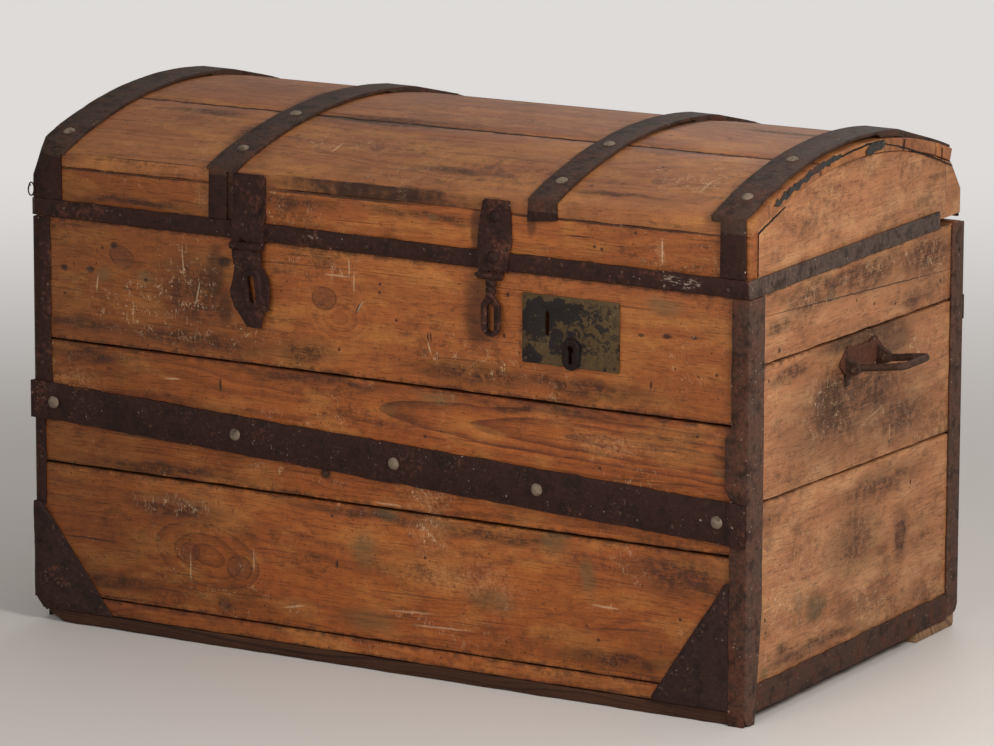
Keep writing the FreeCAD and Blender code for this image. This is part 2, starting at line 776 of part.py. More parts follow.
def dome_slab(y0, y1, inner_radius, outer_radius, x0, x1):
    """A curved board between two seams that point at the dome's centre."""
    angle0 = asin((y0 - crown_y) / outer_radius)
    angle1 = asin((y1 - crown_y) / outer_radius)

    def at(radius, angle):
        return V(x0, crown_y + radius * sin(angle), dome_centre + radius * cos(angle))

    middle = (angle0 + angle1) / 2
    outline = Part.Wire([
        Part.Arc(at(outer_radius, angle0), at(outer_radius, middle),
                 at(outer_radius, angle1)).toShape(),
        Part.LineSegment(at(outer_radius, angle1), at(inner_radius, angle1)).toShape(),
        Part.Arc(at(inner_radius, angle1), at(inner_radius, middle),
                 at(inner_radius, angle0)).toShape(),
        Part.LineSegment(at(inner_radius, angle0), at(outer_radius, angle0)).toShape(),
    ])
    return Part.Face(outline).extrude(V(x1 - x0, 0, 0))


def dome_boards():
    """Four curved boards from front to back."""
    half = half_length + dome_overhang
    gap = dome_seam_gap / 2
    spans = [("dome_board_front", lid_front - 20, dome_seam_front - gap),
             ("dome_board_crown", dome_seam_front + gap, dome_seam_rear - gap),
             ("dome_board_rear", dome_seam_rear + gap, dome_seam_back - gap),
             ("dome_board_back", dome_seam_back + gap, dome_end)]
    kept = box(-half, half, lid_front, lid_back, lid_base, crown_level + 40)
    boards = {}
    for name, y0, y1 in spans:
        slab = dome_slab(y0, y1, dome_under, dome_radius, -half - 20, half + 20)
        boards[name] = tilted(slab).common(kept)
    return boards


def beyond_worn_corner(depth):
    """All that lies outside the lid's worn left front corner, moved inwards by a depth."""
    end = -half_length - dome_overhang
    face = lid_front - strap_thickness
    fold = outer_level(lid_front) + strap_thickness
    back = V(end, face + worn_lid_run, outer_level(face + worn_lid_run) + strap_thickness / 2)
    low = V(end, face, fold - worn_lid_drop)
    along = V(end + worn_lid_length, face, fold)
    outward = low.sub(back).cross(along.sub(back))
    outward.normalize()
    block = prism([V(-100, -100, 0), V(100, -100, 0), V(100, 100, 0), V(-100, 100, 0)], V(0, 0, 100))
    place = back.sub(V(outward.x * depth, outward.y * depth, outward.z * depth))
    block.Placement = FreeCAD.Placement(place, FreeCAD.Rotation(V(0, 0, 1), outward))
    return block


def worn_corner_space():
    """The space round the worn corner that its strap covers."""
    end = -half_length - dome_overhang
    face = lid_front - strap_thickness
    fold = outer_level(lid_front)
    return box(end, end + end_band_leg_width, face, face + 60, fold - 60, fold + 30)


def worn_back(wood):
    """Wood of the lid worn away under the bent strap."""
    return wood.cut(beyond_worn_corner(strap_thickness + band_clearance).common(worn_corner_space()))


def bevel_top():
    """Height at which the back rail's planed corner meets the boards, at the right end."""
    return under_level(dome_end) + dome_rise(half_length)


def bevel_y(level):
    """How far back the planed corner stands at a height."""
    share = (level - bevel_foot) / (bevel_top() - bevel_foot)
    return lid_back - (back_bevel_run - 1) * share


def lid_back_rail():
    """A stout batten whose outer corner is planed off."""
    above = bevel_top() + 30
    bar = across_x([(lid_inner_back, lid_base), (lid_back, lid_base), (lid_back, bevel_foot),
                    (dome_end + 1, bevel_top()), (lid_inner_back, above)], -half_length, half_length)
    return bar.common(below_dome())


def lid_panel(side):
    """One D-shaped end board under the dome, with its lower back corner chipped."""
    inner, outer = sorted((side * (half_length - lid_panel_thickness), side * half_length))
    panel = under_dome(lid_inner_front, lid_inner_back, inner, outer)
    start = edge_band_end_y
    far = start + chipped_corner_length
    chip = across_x([(start, lid_base - 1), (start, lid_base), (start + 4, lid_base + chipped_corner_rise),
                     (far, lid_base + chipped_corner_rise), (far, lid_base - 1)], inner - 1, outer + 1)
    return panel.cut(chip)


def chipped_rail_end(side):
    """The same break, carried into the end of the back rail."""
    inner, outer = sorted((side * (half_length - lid_panel_thickness), side * (half_length + 1)))
    return box(inner, outer, lid_inner_back - 1, lid_back + 1,
               lid_base - 1, lid_base + chipped_corner_rise)


# ---------------------------------------------------------------- lid: irons
def band_place(y, rise, lift, depth):
    """A place above a strap's inner face, and the middle of the round that it belongs to there."""
    middle = V(0, 0, band_centre + rise + lift)
    radius = band_radius
    if y > band_drop_start:
        middle = V(0, crown_y, dome_centre + rise)
        radius = dome_radius
    radius += band_clearance + depth
    return V(0, y, middle.z + sqrt(radius ** 2 - (y - middle.y) ** 2)), middle


def band_arc(y_start, y_end, rise, lift, depth):
    places = [band_place(y, rise, lift, depth)[0] for y in (y_start, (y_start + y_end) / 2, y_end)]
    return Part.Arc(*places).toShape()


def band_face(leg_foot, tail_foot, rise, lift):
    """Section of a strap bent over the dome, from its front leg to its tail at the back."""
    t = strap_thickness
    knee_level = under_level(dome_end) - seat_gap + rise
    knee_y = bevel_y(knee_level)
    drop_end = loose_band_drop_end if lift else band_drop_end
    clear = 0.3
    inner = [band_place(y, rise, lift, 0)[0]
             for y in (lid_front, band_drop_start, drop_end, dome_end + clear)]
    outer = [band_place(y, rise, lift, t)[0]
             for y in (lid_front - t, band_drop_start, drop_end, dome_end + clear + t * 0.7)]
    slope = hypot(lid_back - knee_y, knee_level - bevel_foot)
    off_y = t * (knee_level - bevel_foot) / slope
    off_z = t * (lid_back - knee_y) / slope
    in_knee = V(0, knee_y + clear, knee_level + clear)
    in_foot = V(0, lid_back, bevel_foot + clear)
    out_knee = V(0, knee_y + clear + t, knee_level + clear + off_z * 0.6)
    out_foot = V(0, lid_back + t, bevel_foot + clear + off_z - off_y * 0.3)
    front_in = V(0, lid_front, leg_foot)
    front_out = V(0, lid_front - t, leg_foot)
    back_in = V(0, lid_back, tail_foot)
    back_out = V(0, lid_back + t, tail_foot)
    corners = [inner[3], in_knee, in_foot, back_in, back_out, out_foot, out_knee, outer[3]]
    edges = [Part.LineSegment(front_in, inner[0]).toShape(),
             band_arc(inner[0].y, inner[1].y, rise, lift, 0),
             Part.LineSegment(inner[1], inner[2]).toShape(),
             band_arc(inner[2].y, inner[3].y, rise, lift, 0)]
    edges += [Part.LineSegment(start, end).toShape() for start, end in zip(corners, corners[1:])]
    edges += [band_arc(outer[3].y, outer[2].y, rise, lift, t),
              Part.LineSegment(outer[2], outer[1]).toShape(),
              band_arc(outer[1].y, outer[0].y, rise, lift, t),
              Part.LineSegment(outer[0], front_out).toShape(),
              Part.LineSegment(front_out, front_in).toShape()]
    return Part.Face(Part.Wire(edges))


def lid_band(front_x, back_x, width, leg, leg_foot, tail_foot, lift):
    """A strap over the dome that may run askew; leg gives both sides of its narrower front leg."""
    reach = abs(front_x - back_x) + width
    low_x = min(front_x, back_x) - reach
    rise = dome_rise((front_x + back_x) / 2)
    strip = band_face(leg_foot, tail_foot, rise, lift)
    strip.translate(V(low_x, 0, 0))
    strip = strip.extrude(V(2 * reach + abs(front_x - back_x), 0, 0))
    near = lid_front - strap_thickness
    far = lid_back + strap_thickness
    half = width / 2
    plan = across_z([(front_x - half, near - 1), (front_x + half, near - 1),
                     (front_x + half, near), (back_x + half, far - 10), (back_x + half, far + 1),
                     (back_x - half, far + 1), (back_x - half, far - 10), (front_x - half, near)],
                    lid_base, crown_level + 40)
    band = strip.common(plan)
    leg_top = outer_level(lid_front) - band_shoulder_drop + rise
    for low, high in ((front_x - half - 2, leg[0]), (leg[1], front_x + half + 2)):
        if high - low > 2.5:
            band = band.cut(box(low, high, near - 1, lid_front + 2, lid_base, leg_top))
    return band


def end_band(side):
    """The strap over one end of the dome; its front leg narrows on the inner side."""
    inset = right_end_band_inset if side > 0 else 0
    lift = right_end_band_lift if side > 0 else 0
    end = half_length + dome_overhang
    middle = side * (end - inset - end_band_width / 2)
    leg = sorted((side * (end - inset + 1), side * (end - end_band_leg_width)))
    return lid_band(middle, middle, end_band_width, leg, lid_base + edge_band_height + 0.5,
                    lid_base + chipped_corner_rise, lift)


def left_end_band():
    """The left strap, bent over the worn corner of the lid."""
    middle = -half_length - dome_overhang + end_band_width / 2
    radius = band_radius + band_clearance + strap_thickness
    inside = rod_x(radius, -half_length - 30, 0, 0, band_centre + dome_rise(middle))
    sheet = worn_corner_space().common(inside)
    sheet = sheet.common(beyond_worn_corner(strap_thickness)).cut(beyond_worn_corner(0))
    return fuse([end_band(-1).cut(beyond_worn_corner(0)), sheet])


def hinge_band(front_x, back_x, width, leg, leg_foot):
    """A strap over the dome whose tail is rolled round the hinge pin."""
    third = hinge_leaf_width / 3
    free_level = hinge_level + hinge_knuckle_radius + knuckle_free_gap
    band = lid_band(front_x, back_x, width, leg, leg_foot, free_level, 0)
    tongue = box(back_x - third / 2 + knuckle_side_gap / 2, back_x + third / 2 - knuckle_side_gap / 2,
                 lid_back, lid_back + strap_thickness, hinge_level + 2, free_level)
    barrel = rod_x(hinge_knuckle_radius, back_x - third / 2 + knuckle_side_gap / 2,
                   back_x + third / 2 - knuckle_side_gap / 2, hinge_y, hinge_level)
    neck = box(back_x - third / 2 + knuckle_side_gap / 2, back_x + third / 2 - knuckle_side_gap / 2,
               lid_back + 1, hinge_y - 1, hinge_level + 2, hinge_level + hinge_knuckle_radius - 1)
    whole = fuse([band, tongue, neck, barrel])
    hole = rod_x(hinge_pin_radius + running_clearance, back_x - third, back_x + third,
                 hinge_y, hinge_level)
    return whole.cut(hole)


def edge_band():
    """The strap round the lid's lower edge: the front and most of both ends."""
    t = strap_thickness
    near = lid_front - t
    outer_x = half_length + t
    inner_x = half_length
    outline = [(-outer_x, edge_band_end_y), (-outer_x, near), (outer_x, near),
               (outer_x, edge_band_end_y), (inner_x, edge_band_end_y), (inner_x, lid_front),
               (-inner_x, lid_front), (-inner_x, edge_band_end_y)]
    return across_z(outline, lid_base, lid_base + edge_band_height)


# ---------------------------------------------------------------- hasps
def hasp_plate_side(top):
    """Side view of a hasp plate: flat on the rail, stepped out over the edge band."""
    t = strap_thickness
    face = lid_front
    over = lid_front - t
    band_top = lid_base + edge_band_height
    return [(face, top), (face, band_top + 7), (over, band_top + 0.5), (over, hasp_level),
            (over - t, hasp_level), (over - t, band_top + 2), (face - t, band_top + 9), (face - t, top)]


def hasp_plate(x, outline, knuckles):
    """The fixed half of a hasp, with its rolled knuckles."""
    top = outer_level(lid_front) - hasp_plate_top_drop + dome_rise(x)
    reach = 60.0
    side = across_x(hasp_plate_side(top), x - reach, x + reach)
    front = across_y(outline, lid_front - 3 * strap_thickness, lid_front + 1)
    body = side.common(front)
    free = box(x - reach, x + reach, lid_front - 4 * strap_thickness, lid_front, hasp_level - 1,
               hasp_level + hasp_knuckle_radius + 0.5)
    body = body.cut(free)
    pieces = [body]
    for x0, x1 in knuckles:
        pieces.append(rod_x(hasp_knuckle_radius, x0, x1, hasp_y, hasp_level))
        pieces.append(box(x0, x1, lid_front - 2 * strap_thickness, lid_front - strap_thickness,
                          hasp_level + 1, hasp_level + hasp_knuckle_radius + 1))
    hole = rod_x(hasp_pin_radius + running_clearance, x - reach, x + reach, hasp_y, hasp_level)
    return fuse(pieces).cut(hole)


def left_hasp_plate():
    half = left_hasp_width / 2
    x = left_hasp_x
    top = outer_level(lid_front) + dome_rise(x)
    outline = [(x - half, hasp_level - 1), (x + half, hasp_level - 1), (x + half, top - 6),
               (x + half - 5, top), (x - half + 4, top), (x - half, top - 4)]
    middle = left_hasp_knuckle / 2 + knuckle_side_gap
    return hasp_plate(x, outline, [(x - half, x - middle), (x + middle, x + half)])


def right_hasp_plate():
    half = right_hasp_width / 2
    foot = right_hasp_foot_width / 2
    x = right_hasp_x
    top = outer_level(lid_front) + dome_rise(x)
    rim = lid_base
    outline = [(x - foot, rim - 4), (x + foot, rim - 4), (x + foot + 2, rim + 8), (x + half, rim + 34),
               (x + half - 1, rim + 62), (x + half - 3, top - 3), (x + half - 8, top),
               (x - half + 12, top), (x - half + 7, top - 5), (x - half + 2, rim + 55),
               (x - half, rim + 34), (x - foot - 2, rim + 8)]
    gap = hook_knuckle / 2 + knuckle_side_gap
    return hasp_plate(x, outline, [(x - foot, hook_x - gap), (hook_x + gap, x + foot - 4)])


def hasp_leaf():
    """The swinging half of the left hasp: a worn leaf with a raised oval round its slot."""
    x = left_hasp_x
    half = left_hasp_width / 2
    near = hasp_y - strap_thickness / 2
    far = hasp_y + strap_thickness / 2
    knuckle_top = hasp_level - hasp_knuckle_radius - 0.7
    sides = [(x + along, hasp_level + rise) for along, rise in leaf_right_side + leaf_left_side]
    blade = across_y([(x - 20, knuckle_top), (x + half, knuckle_top)] + sides, near, far)
    neck_half = left_hasp_knuckle / 2
    neck = box(x - neck_half, x + neck_half, near, far, knuckle_top - 1, hasp_level)
    barrel = rod_x(hasp_knuckle_radius, x - neck_half, x + neck_half, hasp_y, hasp_level)
    middle = V(hasp_slot_x, hasp_y, hasp_level - hasp_slot_drop)
    boss = oval(hasp_slot_width + 2 * hasp_rim_width, hasp_slot_length + 2 * hasp_rim_width,
                middle.x, middle.z, near - hasp_rim_height, near + 1)
    crest = [e for e in boss.Edges if abs(e.CenterOfMass.y - (near - hasp_rim_height)) < 0.1]
    boss = boss.makeChamfer(hasp_rim_height * 0.8, crest)
    slot = oval(hasp_slot_width, hasp_slot_length, middle.x, middle.z, near - hasp_rim_height - 1,
                far + 1)
    for shape in (boss, slot):
        shape.rotate(middle, V(0, -1, 0), hasp_slot_lean)
    leaf = fuse([blade, neck, barrel, boss]).cut(slot)
    return leaf.cut(rod_x(hasp_pin_radius + running_clearance, x - half, x + half, hasp_y, hasp_level))


def twisted_shank(top, length):
    """A bar twisted about its own length, wider than it is deep."""
    steps = 12
    sections = []
    for step in range(steps + 1):
        share = step / steps
        turn = radians(45 + hook_twist * share)
        z = top - length * share
        points = []
        for quarter in range(4):
            angle = turn + quarter * radians(90)
            points.append(V(hook_x + hook_shank_width / 2 * cos(angle),
                            hasp_y + hasp_knuckle_radius * sin(angle), z))
        sections.append(Part.makePolygon(points + [points[0]]))
    return Part.makeLoft(sections, True, True)


def hook():
    """The hanging link of the right hasp: a knuckle, a twisted shank and a long eye."""
    half = hook_knuckle / 2
    barrel = rod_x(hasp_knuckle_radius, hook_x - half, hook_x + half, hasp_y, hasp_level)
    shank_top = hasp_level - hasp_pin_radius - 1.5
    shank = twisted_shank(shank_top, hook_shank_length)
    middle = shank_top - hook_shank_length - hook_eye_height / 2 + 3
    y0 = hasp_y - hook_eye_thickness / 2
    y1 = hasp_y + hook_eye_thickness / 2
    eye = oval(hook_eye_width, hook_eye_height, hook_x, middle, y0, y1)
    rims = [e for e in eye.Edges if abs(abs(e.CenterOfMass.y - hasp_y) - hook_eye_thickness / 2) < 0.1]
    eye = eye.makeFillet(2.0, rims)
    eye = eye.cut(oval(hook_hole_width, hook_hole_height, hook_x, middle - 1, y0 - 1, y1 + 1))
    whole = fuse([barrel, shank, eye])
    return whole.cut(rod_x(hasp_pin_radius + running_clearance, hook_x - half - 1, hook_x + half + 1,
                           hasp_y, hasp_level))


def hasp_pins():
    left = left_hasp_width / 2
    right = right_hasp_foot_width / 2
    return Part.makeCompound([
        rod_x(hasp_pin_radius, left_hasp_x - left, left_hasp_x + left, hasp_y, hasp_level),
        rod_x(hasp_pin_radius, right_hasp_x - right - 4, right_hasp_x + right - 4, hasp_y, hasp_level),
    ])


def lid_nails():
    """Domed nails through the lid's straps and its right hasp plate."""
    heads = []
    span = lid_back - lid_front
    end_x = half_length + dome_overhang - end_band_width / 2
    front_ys = [lid_front + inset for inset in band_front_nail_insets]
    back_ys = [lid_back - band_back_nail_inset]
    bands = [(-end_x, -end_x, 0, front_ys[:1] + back_ys),
             (left_hinge_band_front_x, left_hinge_band_back_x, 0, front_ys + back_ys),
             (right_hinge_band_front_x, right_hinge_band_back_x, 0, front_ys + back_ys),
             (end_x - right_end_band_inset, end_x - right_end_band_inset, right_end_band_lift,
              front_ys + back_ys)]
    for front_x, back_x, lift, ys in bands:
        rise = dome_rise((front_x + back_x) / 2)
        for y in ys:
            place, middle = band_place(y, rise, lift, strap_thickness + 0.05)
            way = place.sub(middle)
            place.x = front_x + (back_x - front_x) * (y - lid_front) / span
            heads.append(domed_nail(place, way.normalize()))
    for rise, steps in zip(hasp_nail_rises, (1, 2)):
        face = lid_front - steps * strap_thickness
        heads.append(domed_nail(V(hasp_nail_x, face, lid_base + rise), V(0, -1, 0)))
    return Part.makeCompound(heads)


# ---------------------------------------------------------------- all the pieces
def all_pieces():
    pieces = {}
    pieces.update(front_wood())
    for side, hand in ((-1, "left"), (1, "right")):
        for name, shape in end_wood(side).items():
            pieces[hand + "_" + name] = shape
        pieces[hand + "_base_strap"] = base_strap(side)
        pieces[hand + "_lid_panel"] = lid_panel(side)
    pieces.update(back_wood())
    pieces.update(floor_wood())
    pieces["rear_runner"] = rear_runner()
    pieces.update(corner_irons())
    pieces["right_base_strap"] = pieces["right_base_strap"].cut(pieces["front_right_corner_iron"])
    pieces["left_gusset"] = left_gusset()
    pieces["right_gusset"] = right_gusset()
    pieces["front_band"] = front_band()
    pieces["back_band"] = back_band()
    pieces["case_domed_nails"] = front_band_nails()

    pieces["lock_plate"] = lock_plate()
    pieces["keyhole_escutcheon"] = escutcheon()
    pieces["lock_case"] = lock_case()
    pieces["lock_bolt"] = lock_bolt()

    lugs = handle_lugs()
    pieces["right_handle_plate"] = handle_plate()
    pieces["right_handle_bail"] = bail()
    for name in ("handle_plate", "handle_bail"):
        pieces["left_" + name] = mirrored_x(pieces["right_" + name])
    pieces["handle_eyes"] = Part.makeCompound(lugs + [mirrored_x(lug) for lug in lugs])

    for hand, x in hinge_xs().items():
        pieces[hand + "_hinge_leaf"] = hinge_leaf(x)
    pieces["hinge_pins"] = hinge_pins()

    front_rail = under_dome(lid_front, lid_inner_front, -half_length, half_length)
    pieces["lid_front_rail"] = front_rail
    back_rail = lid_back_rail()
    for side in (-1, 1):
        back_rail = back_rail.cut(chipped_rail_end(side))
    pieces["lid_back_rail"] = back_rail
    pieces.update(dome_boards())
    for name in ("lid_front_rail", "dome_board_front"):
        pieces[name] = worn_back(pieces[name])
    pieces["left_end_band"] = left_end_band()
    pieces["right_end_band"] = end_band(1)
    leg_foot = lid_base + edge_band_height + 0.5
    half_leg = left_hinge_leg_width / 2
    pieces["left_hinge_band"] = hinge_band(left_hinge_band_front_x, left_hinge_band_back_x,
                                           left_hinge_band_width,
                                           (left_hinge_leg_x - half_leg, left_hinge_leg_x + half_leg),
                                           leg_foot)
    torn_foot = outer_level(lid_front) + dome_rise(right_hinge_band_front_x) - torn_leg_length
    past = right_hinge_band_width
    pieces["right_hinge_band"] = hinge_band(right_hinge_band_front_x, right_hinge_band_back_x,
                                            right_hinge_band_width,
                                            (right_hinge_band_front_x - past,
                                             right_hinge_band_front_x + past), torn_foot)
    pieces["lid_edge_band"] = edge_band()
    pieces["left_hasp_plate"] = left_hasp_plate()
    pieces["right_hasp_plate"] = right_hasp_plate()
    pieces["left_hasp_leaf"] = hasp_leaf()
    pieces["right_hasp_hook"] = hook()
    pieces["hasp_pins"] = hasp_pins()
    pieces["lid_domed_nails"] = lid_nails()
    return pieces


os.makedirs("parts", exist_ok=True)
for name, shape in all_pieces().items():
    shape.exportStep("parts/" + name + ".step")
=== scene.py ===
"""Finishes a dome top trunk: worn pine boards, forged straps, an old brass lock plate and small nails.

Metres, +Z up, +X along the front towards the right end, +Y towards the back.
Places on a board's face are given in millimetres, along its length and across it.
"""
import json
import math
from collections import namedtuple

import bmesh
import bpy
from mathutils import Matrix, Vector

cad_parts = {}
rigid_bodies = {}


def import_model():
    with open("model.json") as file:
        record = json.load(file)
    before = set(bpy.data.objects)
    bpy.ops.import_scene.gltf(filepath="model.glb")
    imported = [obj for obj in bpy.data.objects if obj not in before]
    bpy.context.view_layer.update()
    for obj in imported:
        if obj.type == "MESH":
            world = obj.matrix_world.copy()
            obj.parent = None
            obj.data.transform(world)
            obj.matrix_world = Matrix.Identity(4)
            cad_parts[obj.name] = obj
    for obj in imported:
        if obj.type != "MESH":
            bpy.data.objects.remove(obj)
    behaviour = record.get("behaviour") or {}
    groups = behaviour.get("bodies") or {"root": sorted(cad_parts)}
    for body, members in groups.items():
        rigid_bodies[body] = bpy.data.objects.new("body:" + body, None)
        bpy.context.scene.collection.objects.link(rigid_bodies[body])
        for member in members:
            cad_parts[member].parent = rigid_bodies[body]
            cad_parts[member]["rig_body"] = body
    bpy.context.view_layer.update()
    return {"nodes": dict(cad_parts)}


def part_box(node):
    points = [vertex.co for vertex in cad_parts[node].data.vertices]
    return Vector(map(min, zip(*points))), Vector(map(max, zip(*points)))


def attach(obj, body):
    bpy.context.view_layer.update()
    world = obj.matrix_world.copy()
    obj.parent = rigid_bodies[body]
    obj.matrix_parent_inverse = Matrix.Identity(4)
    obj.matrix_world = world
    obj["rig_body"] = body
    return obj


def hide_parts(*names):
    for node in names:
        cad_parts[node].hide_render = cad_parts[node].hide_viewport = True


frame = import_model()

bl_info = {
    "name": "Dome top trunk",
    "version": (1, 0, 0),
    "blender": (4, 5, 0),
    "location": "View3D > Sidebar > Trunk",
    "description": "Dresses the packed solids of a dome top trunk",
    "category": "Object",
}

MM = 0.001

# along the front, a painted light falloff: darker from its left end to the middle, and painted shade where
# it dims again towards the right
PAINTED_FALLOFF_LEFT, PAINTED_FALLOFF_MIDDLE = -0.50, 0.0
DIM_FROM, DIM_TO = 0.10, 0.46
# iron that lies past this on either end is greyer
END_FROM, END_FULL = 0.4970, 0.4990
STRAP_REAR = 0.06      # behind this the straps over the dome lie deeper in the boards
STRAP_SINK = 0.005
LEG_TOP = 0.592        # the straps' front legs are darker below this level
BAND_FACE = -282       # y of the front band's face, in millimetres

SHARP = math.radians(30)
TOUCH = 0.0001         # what lies closer than this to a face is on it
CUT_SHIFT = 0.13       # keeps the cuts off a piece's own edges, as a share of their pitch
CORNER_EDGE = 0.01201  # how far the wandering edge of a corner iron reaches
# sizes of the clouds that shape chips in wood, bends and blows in straps, and hammer marks
CHIP_SIZE, BEND_SIZE, BLOW_SIZE, HAMMER_SIZE = 0.028, 0.034, 0.009, 0.011
NAIL_SPIN = 2.4        # in radians, from each small nail to the next
WIRE_POINTS = 26

# how much of the wood each kind of wear hides, and each painted shadow and painted glint, from 0 to 1
LINES, CHECKS, EDGE_DIRT, BLOTCHES = 0.40, 0.48, 0.66, 0.42
SHADOWS, PECKS, HOLES, SCRATCHES = 0.58, 0.66, 0.88, 0.62
KNOT_HEART, KNOT_RIM = 0.46, 0.62
# the share of a mark's radius over which it fades
FADE = {"dirt": 1.3, "green": 1.4, "pale": 1.3, "scraped": 1.3, "shadows": 0.8, "holes": 0.9, "scores": 0.8}
CRISP_MARKS = ("shadows", "holes", "scores")


# ---------------------------------------------------------------- sizes and colours
def from_screen(red, green, blue):
    """A colour given by its screen values, as the linear light that materials take."""
    def linear(value):
        share = value / 255
        return share / 12.92 if share <= 0.04045 else ((share + 0.055) / 1.055) ** 2.4
    return (linear(red), linear(green), linear(blue))


def length(name, description, default, low=0.0, high=1.0):
    return bpy.props.FloatProperty(name=name, description=description, default=default,
                                   min=low, max=high, unit="LENGTH", precision=5)


def colour(name, description, red, green, blue):
    return bpy.props.FloatVectorProperty(name=name, description=description, subtype="COLOR", size=3,
                                         min=0.0, max=1.0, default=from_screen(red, green, blue))


class TrunkSizes(bpy.types.PropertyGroup):
    """Sizes of the wear and of the small fittings."""
    wood_edge: length("Board edge", "Radius worn on the boards' edges", 0.0012)
    wood_chips: length("Board chips", "How deep the boards' edges are chipped", 0.0014)
    wood_slice: length("Board cut pitch", "Distance between the cuts that let an edge wander", 0.014)
    iron_edge: length("Iron edge", "Radius on the edges of the forged straps", 0.0007)
    iron_wander: length("Iron wander", "How far the edge of a strap wanders", 0.0024)
    iron_slice: length("Iron cut pitch", "Distance between the cuts along a strap", 0.009)
    hammer_depth: length("Hammer marks", "Depth of the hammer marks on small irons", 0.0007)
    small_nail_radius: length("Small nail", "Radius of a small nail's head", 0.0031)
    small_nail_height: length("Small nail height", "How proud a small nail's head stands", 0.0011)
    wire_radius: length("Wire", "Radius of the loose binding wire", 0.0009)
    floor_half: length("Floor", "Half the side of the floor", 30.0, 1.0, 100.0)


class TrunkColours(bpy.types.PropertyGroup):
    """Colours of the finishes."""
    pine_light: colour("Pine, early wood", "Between the growth rings", 159, 90, 42)
    pine_dark: colour("Pine, late wood", "In the growth rings", 103, 53, 21)
    low_light: colour("Lower pine, early wood", "Between the rings, lower front boards", 157, 85, 34)
    low_dark: colour("Lower pine, late wood", "In the rings, lower front boards", 100, 49, 18)
    pine_red: colour("Pine, red streaks", "Broad reddish bands in the grain", 126, 58, 25)
    pine_worn: colour("Pine, worn", "Where the old finish is rubbed away", 190, 142, 98)
    end_light: colour("End pine, early wood", "Between the rings on the ends", 166, 112, 73)
    end_dark: colour("End pine, late wood", "In the rings on the ends", 116, 72, 48)
    dome_light: colour("Dome pine, early wood", "Between the rings on the dome", 151, 95, 56)
    dome_dark: colour("Dome pine, late wood", "In the rings on the dome", 103, 58, 34)
    ochre: colour("Pine, ochre", "Yellower patches of the old finish", 184, 124, 62)
    knot: colour("Knot", "Heart of a knot", 84, 46, 32)
    # the grime colour is also laid as painted shadows and painted shade on the wood
    grime_and_shade: colour("Grime", "Dirt rubbed into the wood", 48, 26, 14)
    green_stain: colour("Verdigris", "Greenish stain on the wood", 92, 82, 52)
    # also laid as painted glints on raised wood fibres
    fleck: colour("Flecks", "Bright flecks and scratches", 214, 184, 146)
    sill_light: colour("Sill, early wood", "Stained wood of the front sill", 72, 44, 28)
    sill_dark: colour("Sill, late wood", "Rings of the front sill", 38, 23, 15)
    raw_light: colour("Raw wood, early wood", "Runner that was never finished", 146, 112, 82)
    raw_dark: colour("Raw wood, late wood", "Rings of the runner", 100, 74, 53)
    iron: colour("Iron", "Forged iron", 50, 29, 23)
    iron_brown: colour("Brown iron", "Brown skin on the iron", 84, 50, 37)
    iron_black: colour("Black iron", "Dark patches on the iron", 30, 20, 17)
    # also the colour of the painted glints on the irons
    iron_pale: colour("Pale iron", "Bright flecks on the iron", 156, 134, 118)
    # laid on the irons' faces at the trunk's ends
    iron_grey: colour("Grey iron", "Iron rubbed grey on the ends", 122, 108, 96)
    iron_gusset: colour("Gusset iron", "Dark brown skin on the gussets", 50, 32, 27)
    # a lighter brown iron; on the straps over the dome it is partly a painted sheen on their upper faces
    iron_sheen: colour("Iron on the dome", "Rubbed straps over the dome", 66, 48, 38)
    iron_torn: colour("Torn iron", "Dark skin peeled off the right end", 54, 52, 50)
    nail: colour("Nails", "Pale worn heads of the domed nails", 120, 104, 88)
    brass: colour("Brass", "Aged brass of the lock plate", 92, 74, 42)
    brass_dark: colour("Dark brass", "Blue-black patches on the lock plate", 24, 19, 20)
    floor: colour("Floor", "The pale floor", 214, 207, 201)
    backdrop: colour("Backdrop", "The floor further off", 222, 219, 217)


# ---------------------------------------------------------------- shader recipes
class Value:
    """A number that varies over a surface; sums and products of it add Math nodes."""

    def __init__(self, recipe, socket):
        self.recipe = recipe
        self.socket = socket

    def __add__(self, other):
        return self.recipe.math("ADD", self, other)

    def __radd__(self, other):
        return self.recipe.math("ADD", other, self)

    def __sub__(self, other):
        return self.recipe.math("SUBTRACT", self, other)

    def __rsub__(self, other):
        return self.recipe.math("SUBTRACT", other, self)

    def __mul__(self, other):
        return self.recipe.math("MULTIPLY", self, other)

    def __rmul__(self, other):
        return self.recipe.math("MULTIPLY", other, self)

    def lower(self, other):
        return self.recipe.math("MINIMUM", self, other)

    def higher(self, other):
        return self.recipe.math("MAXIMUM", self, other)


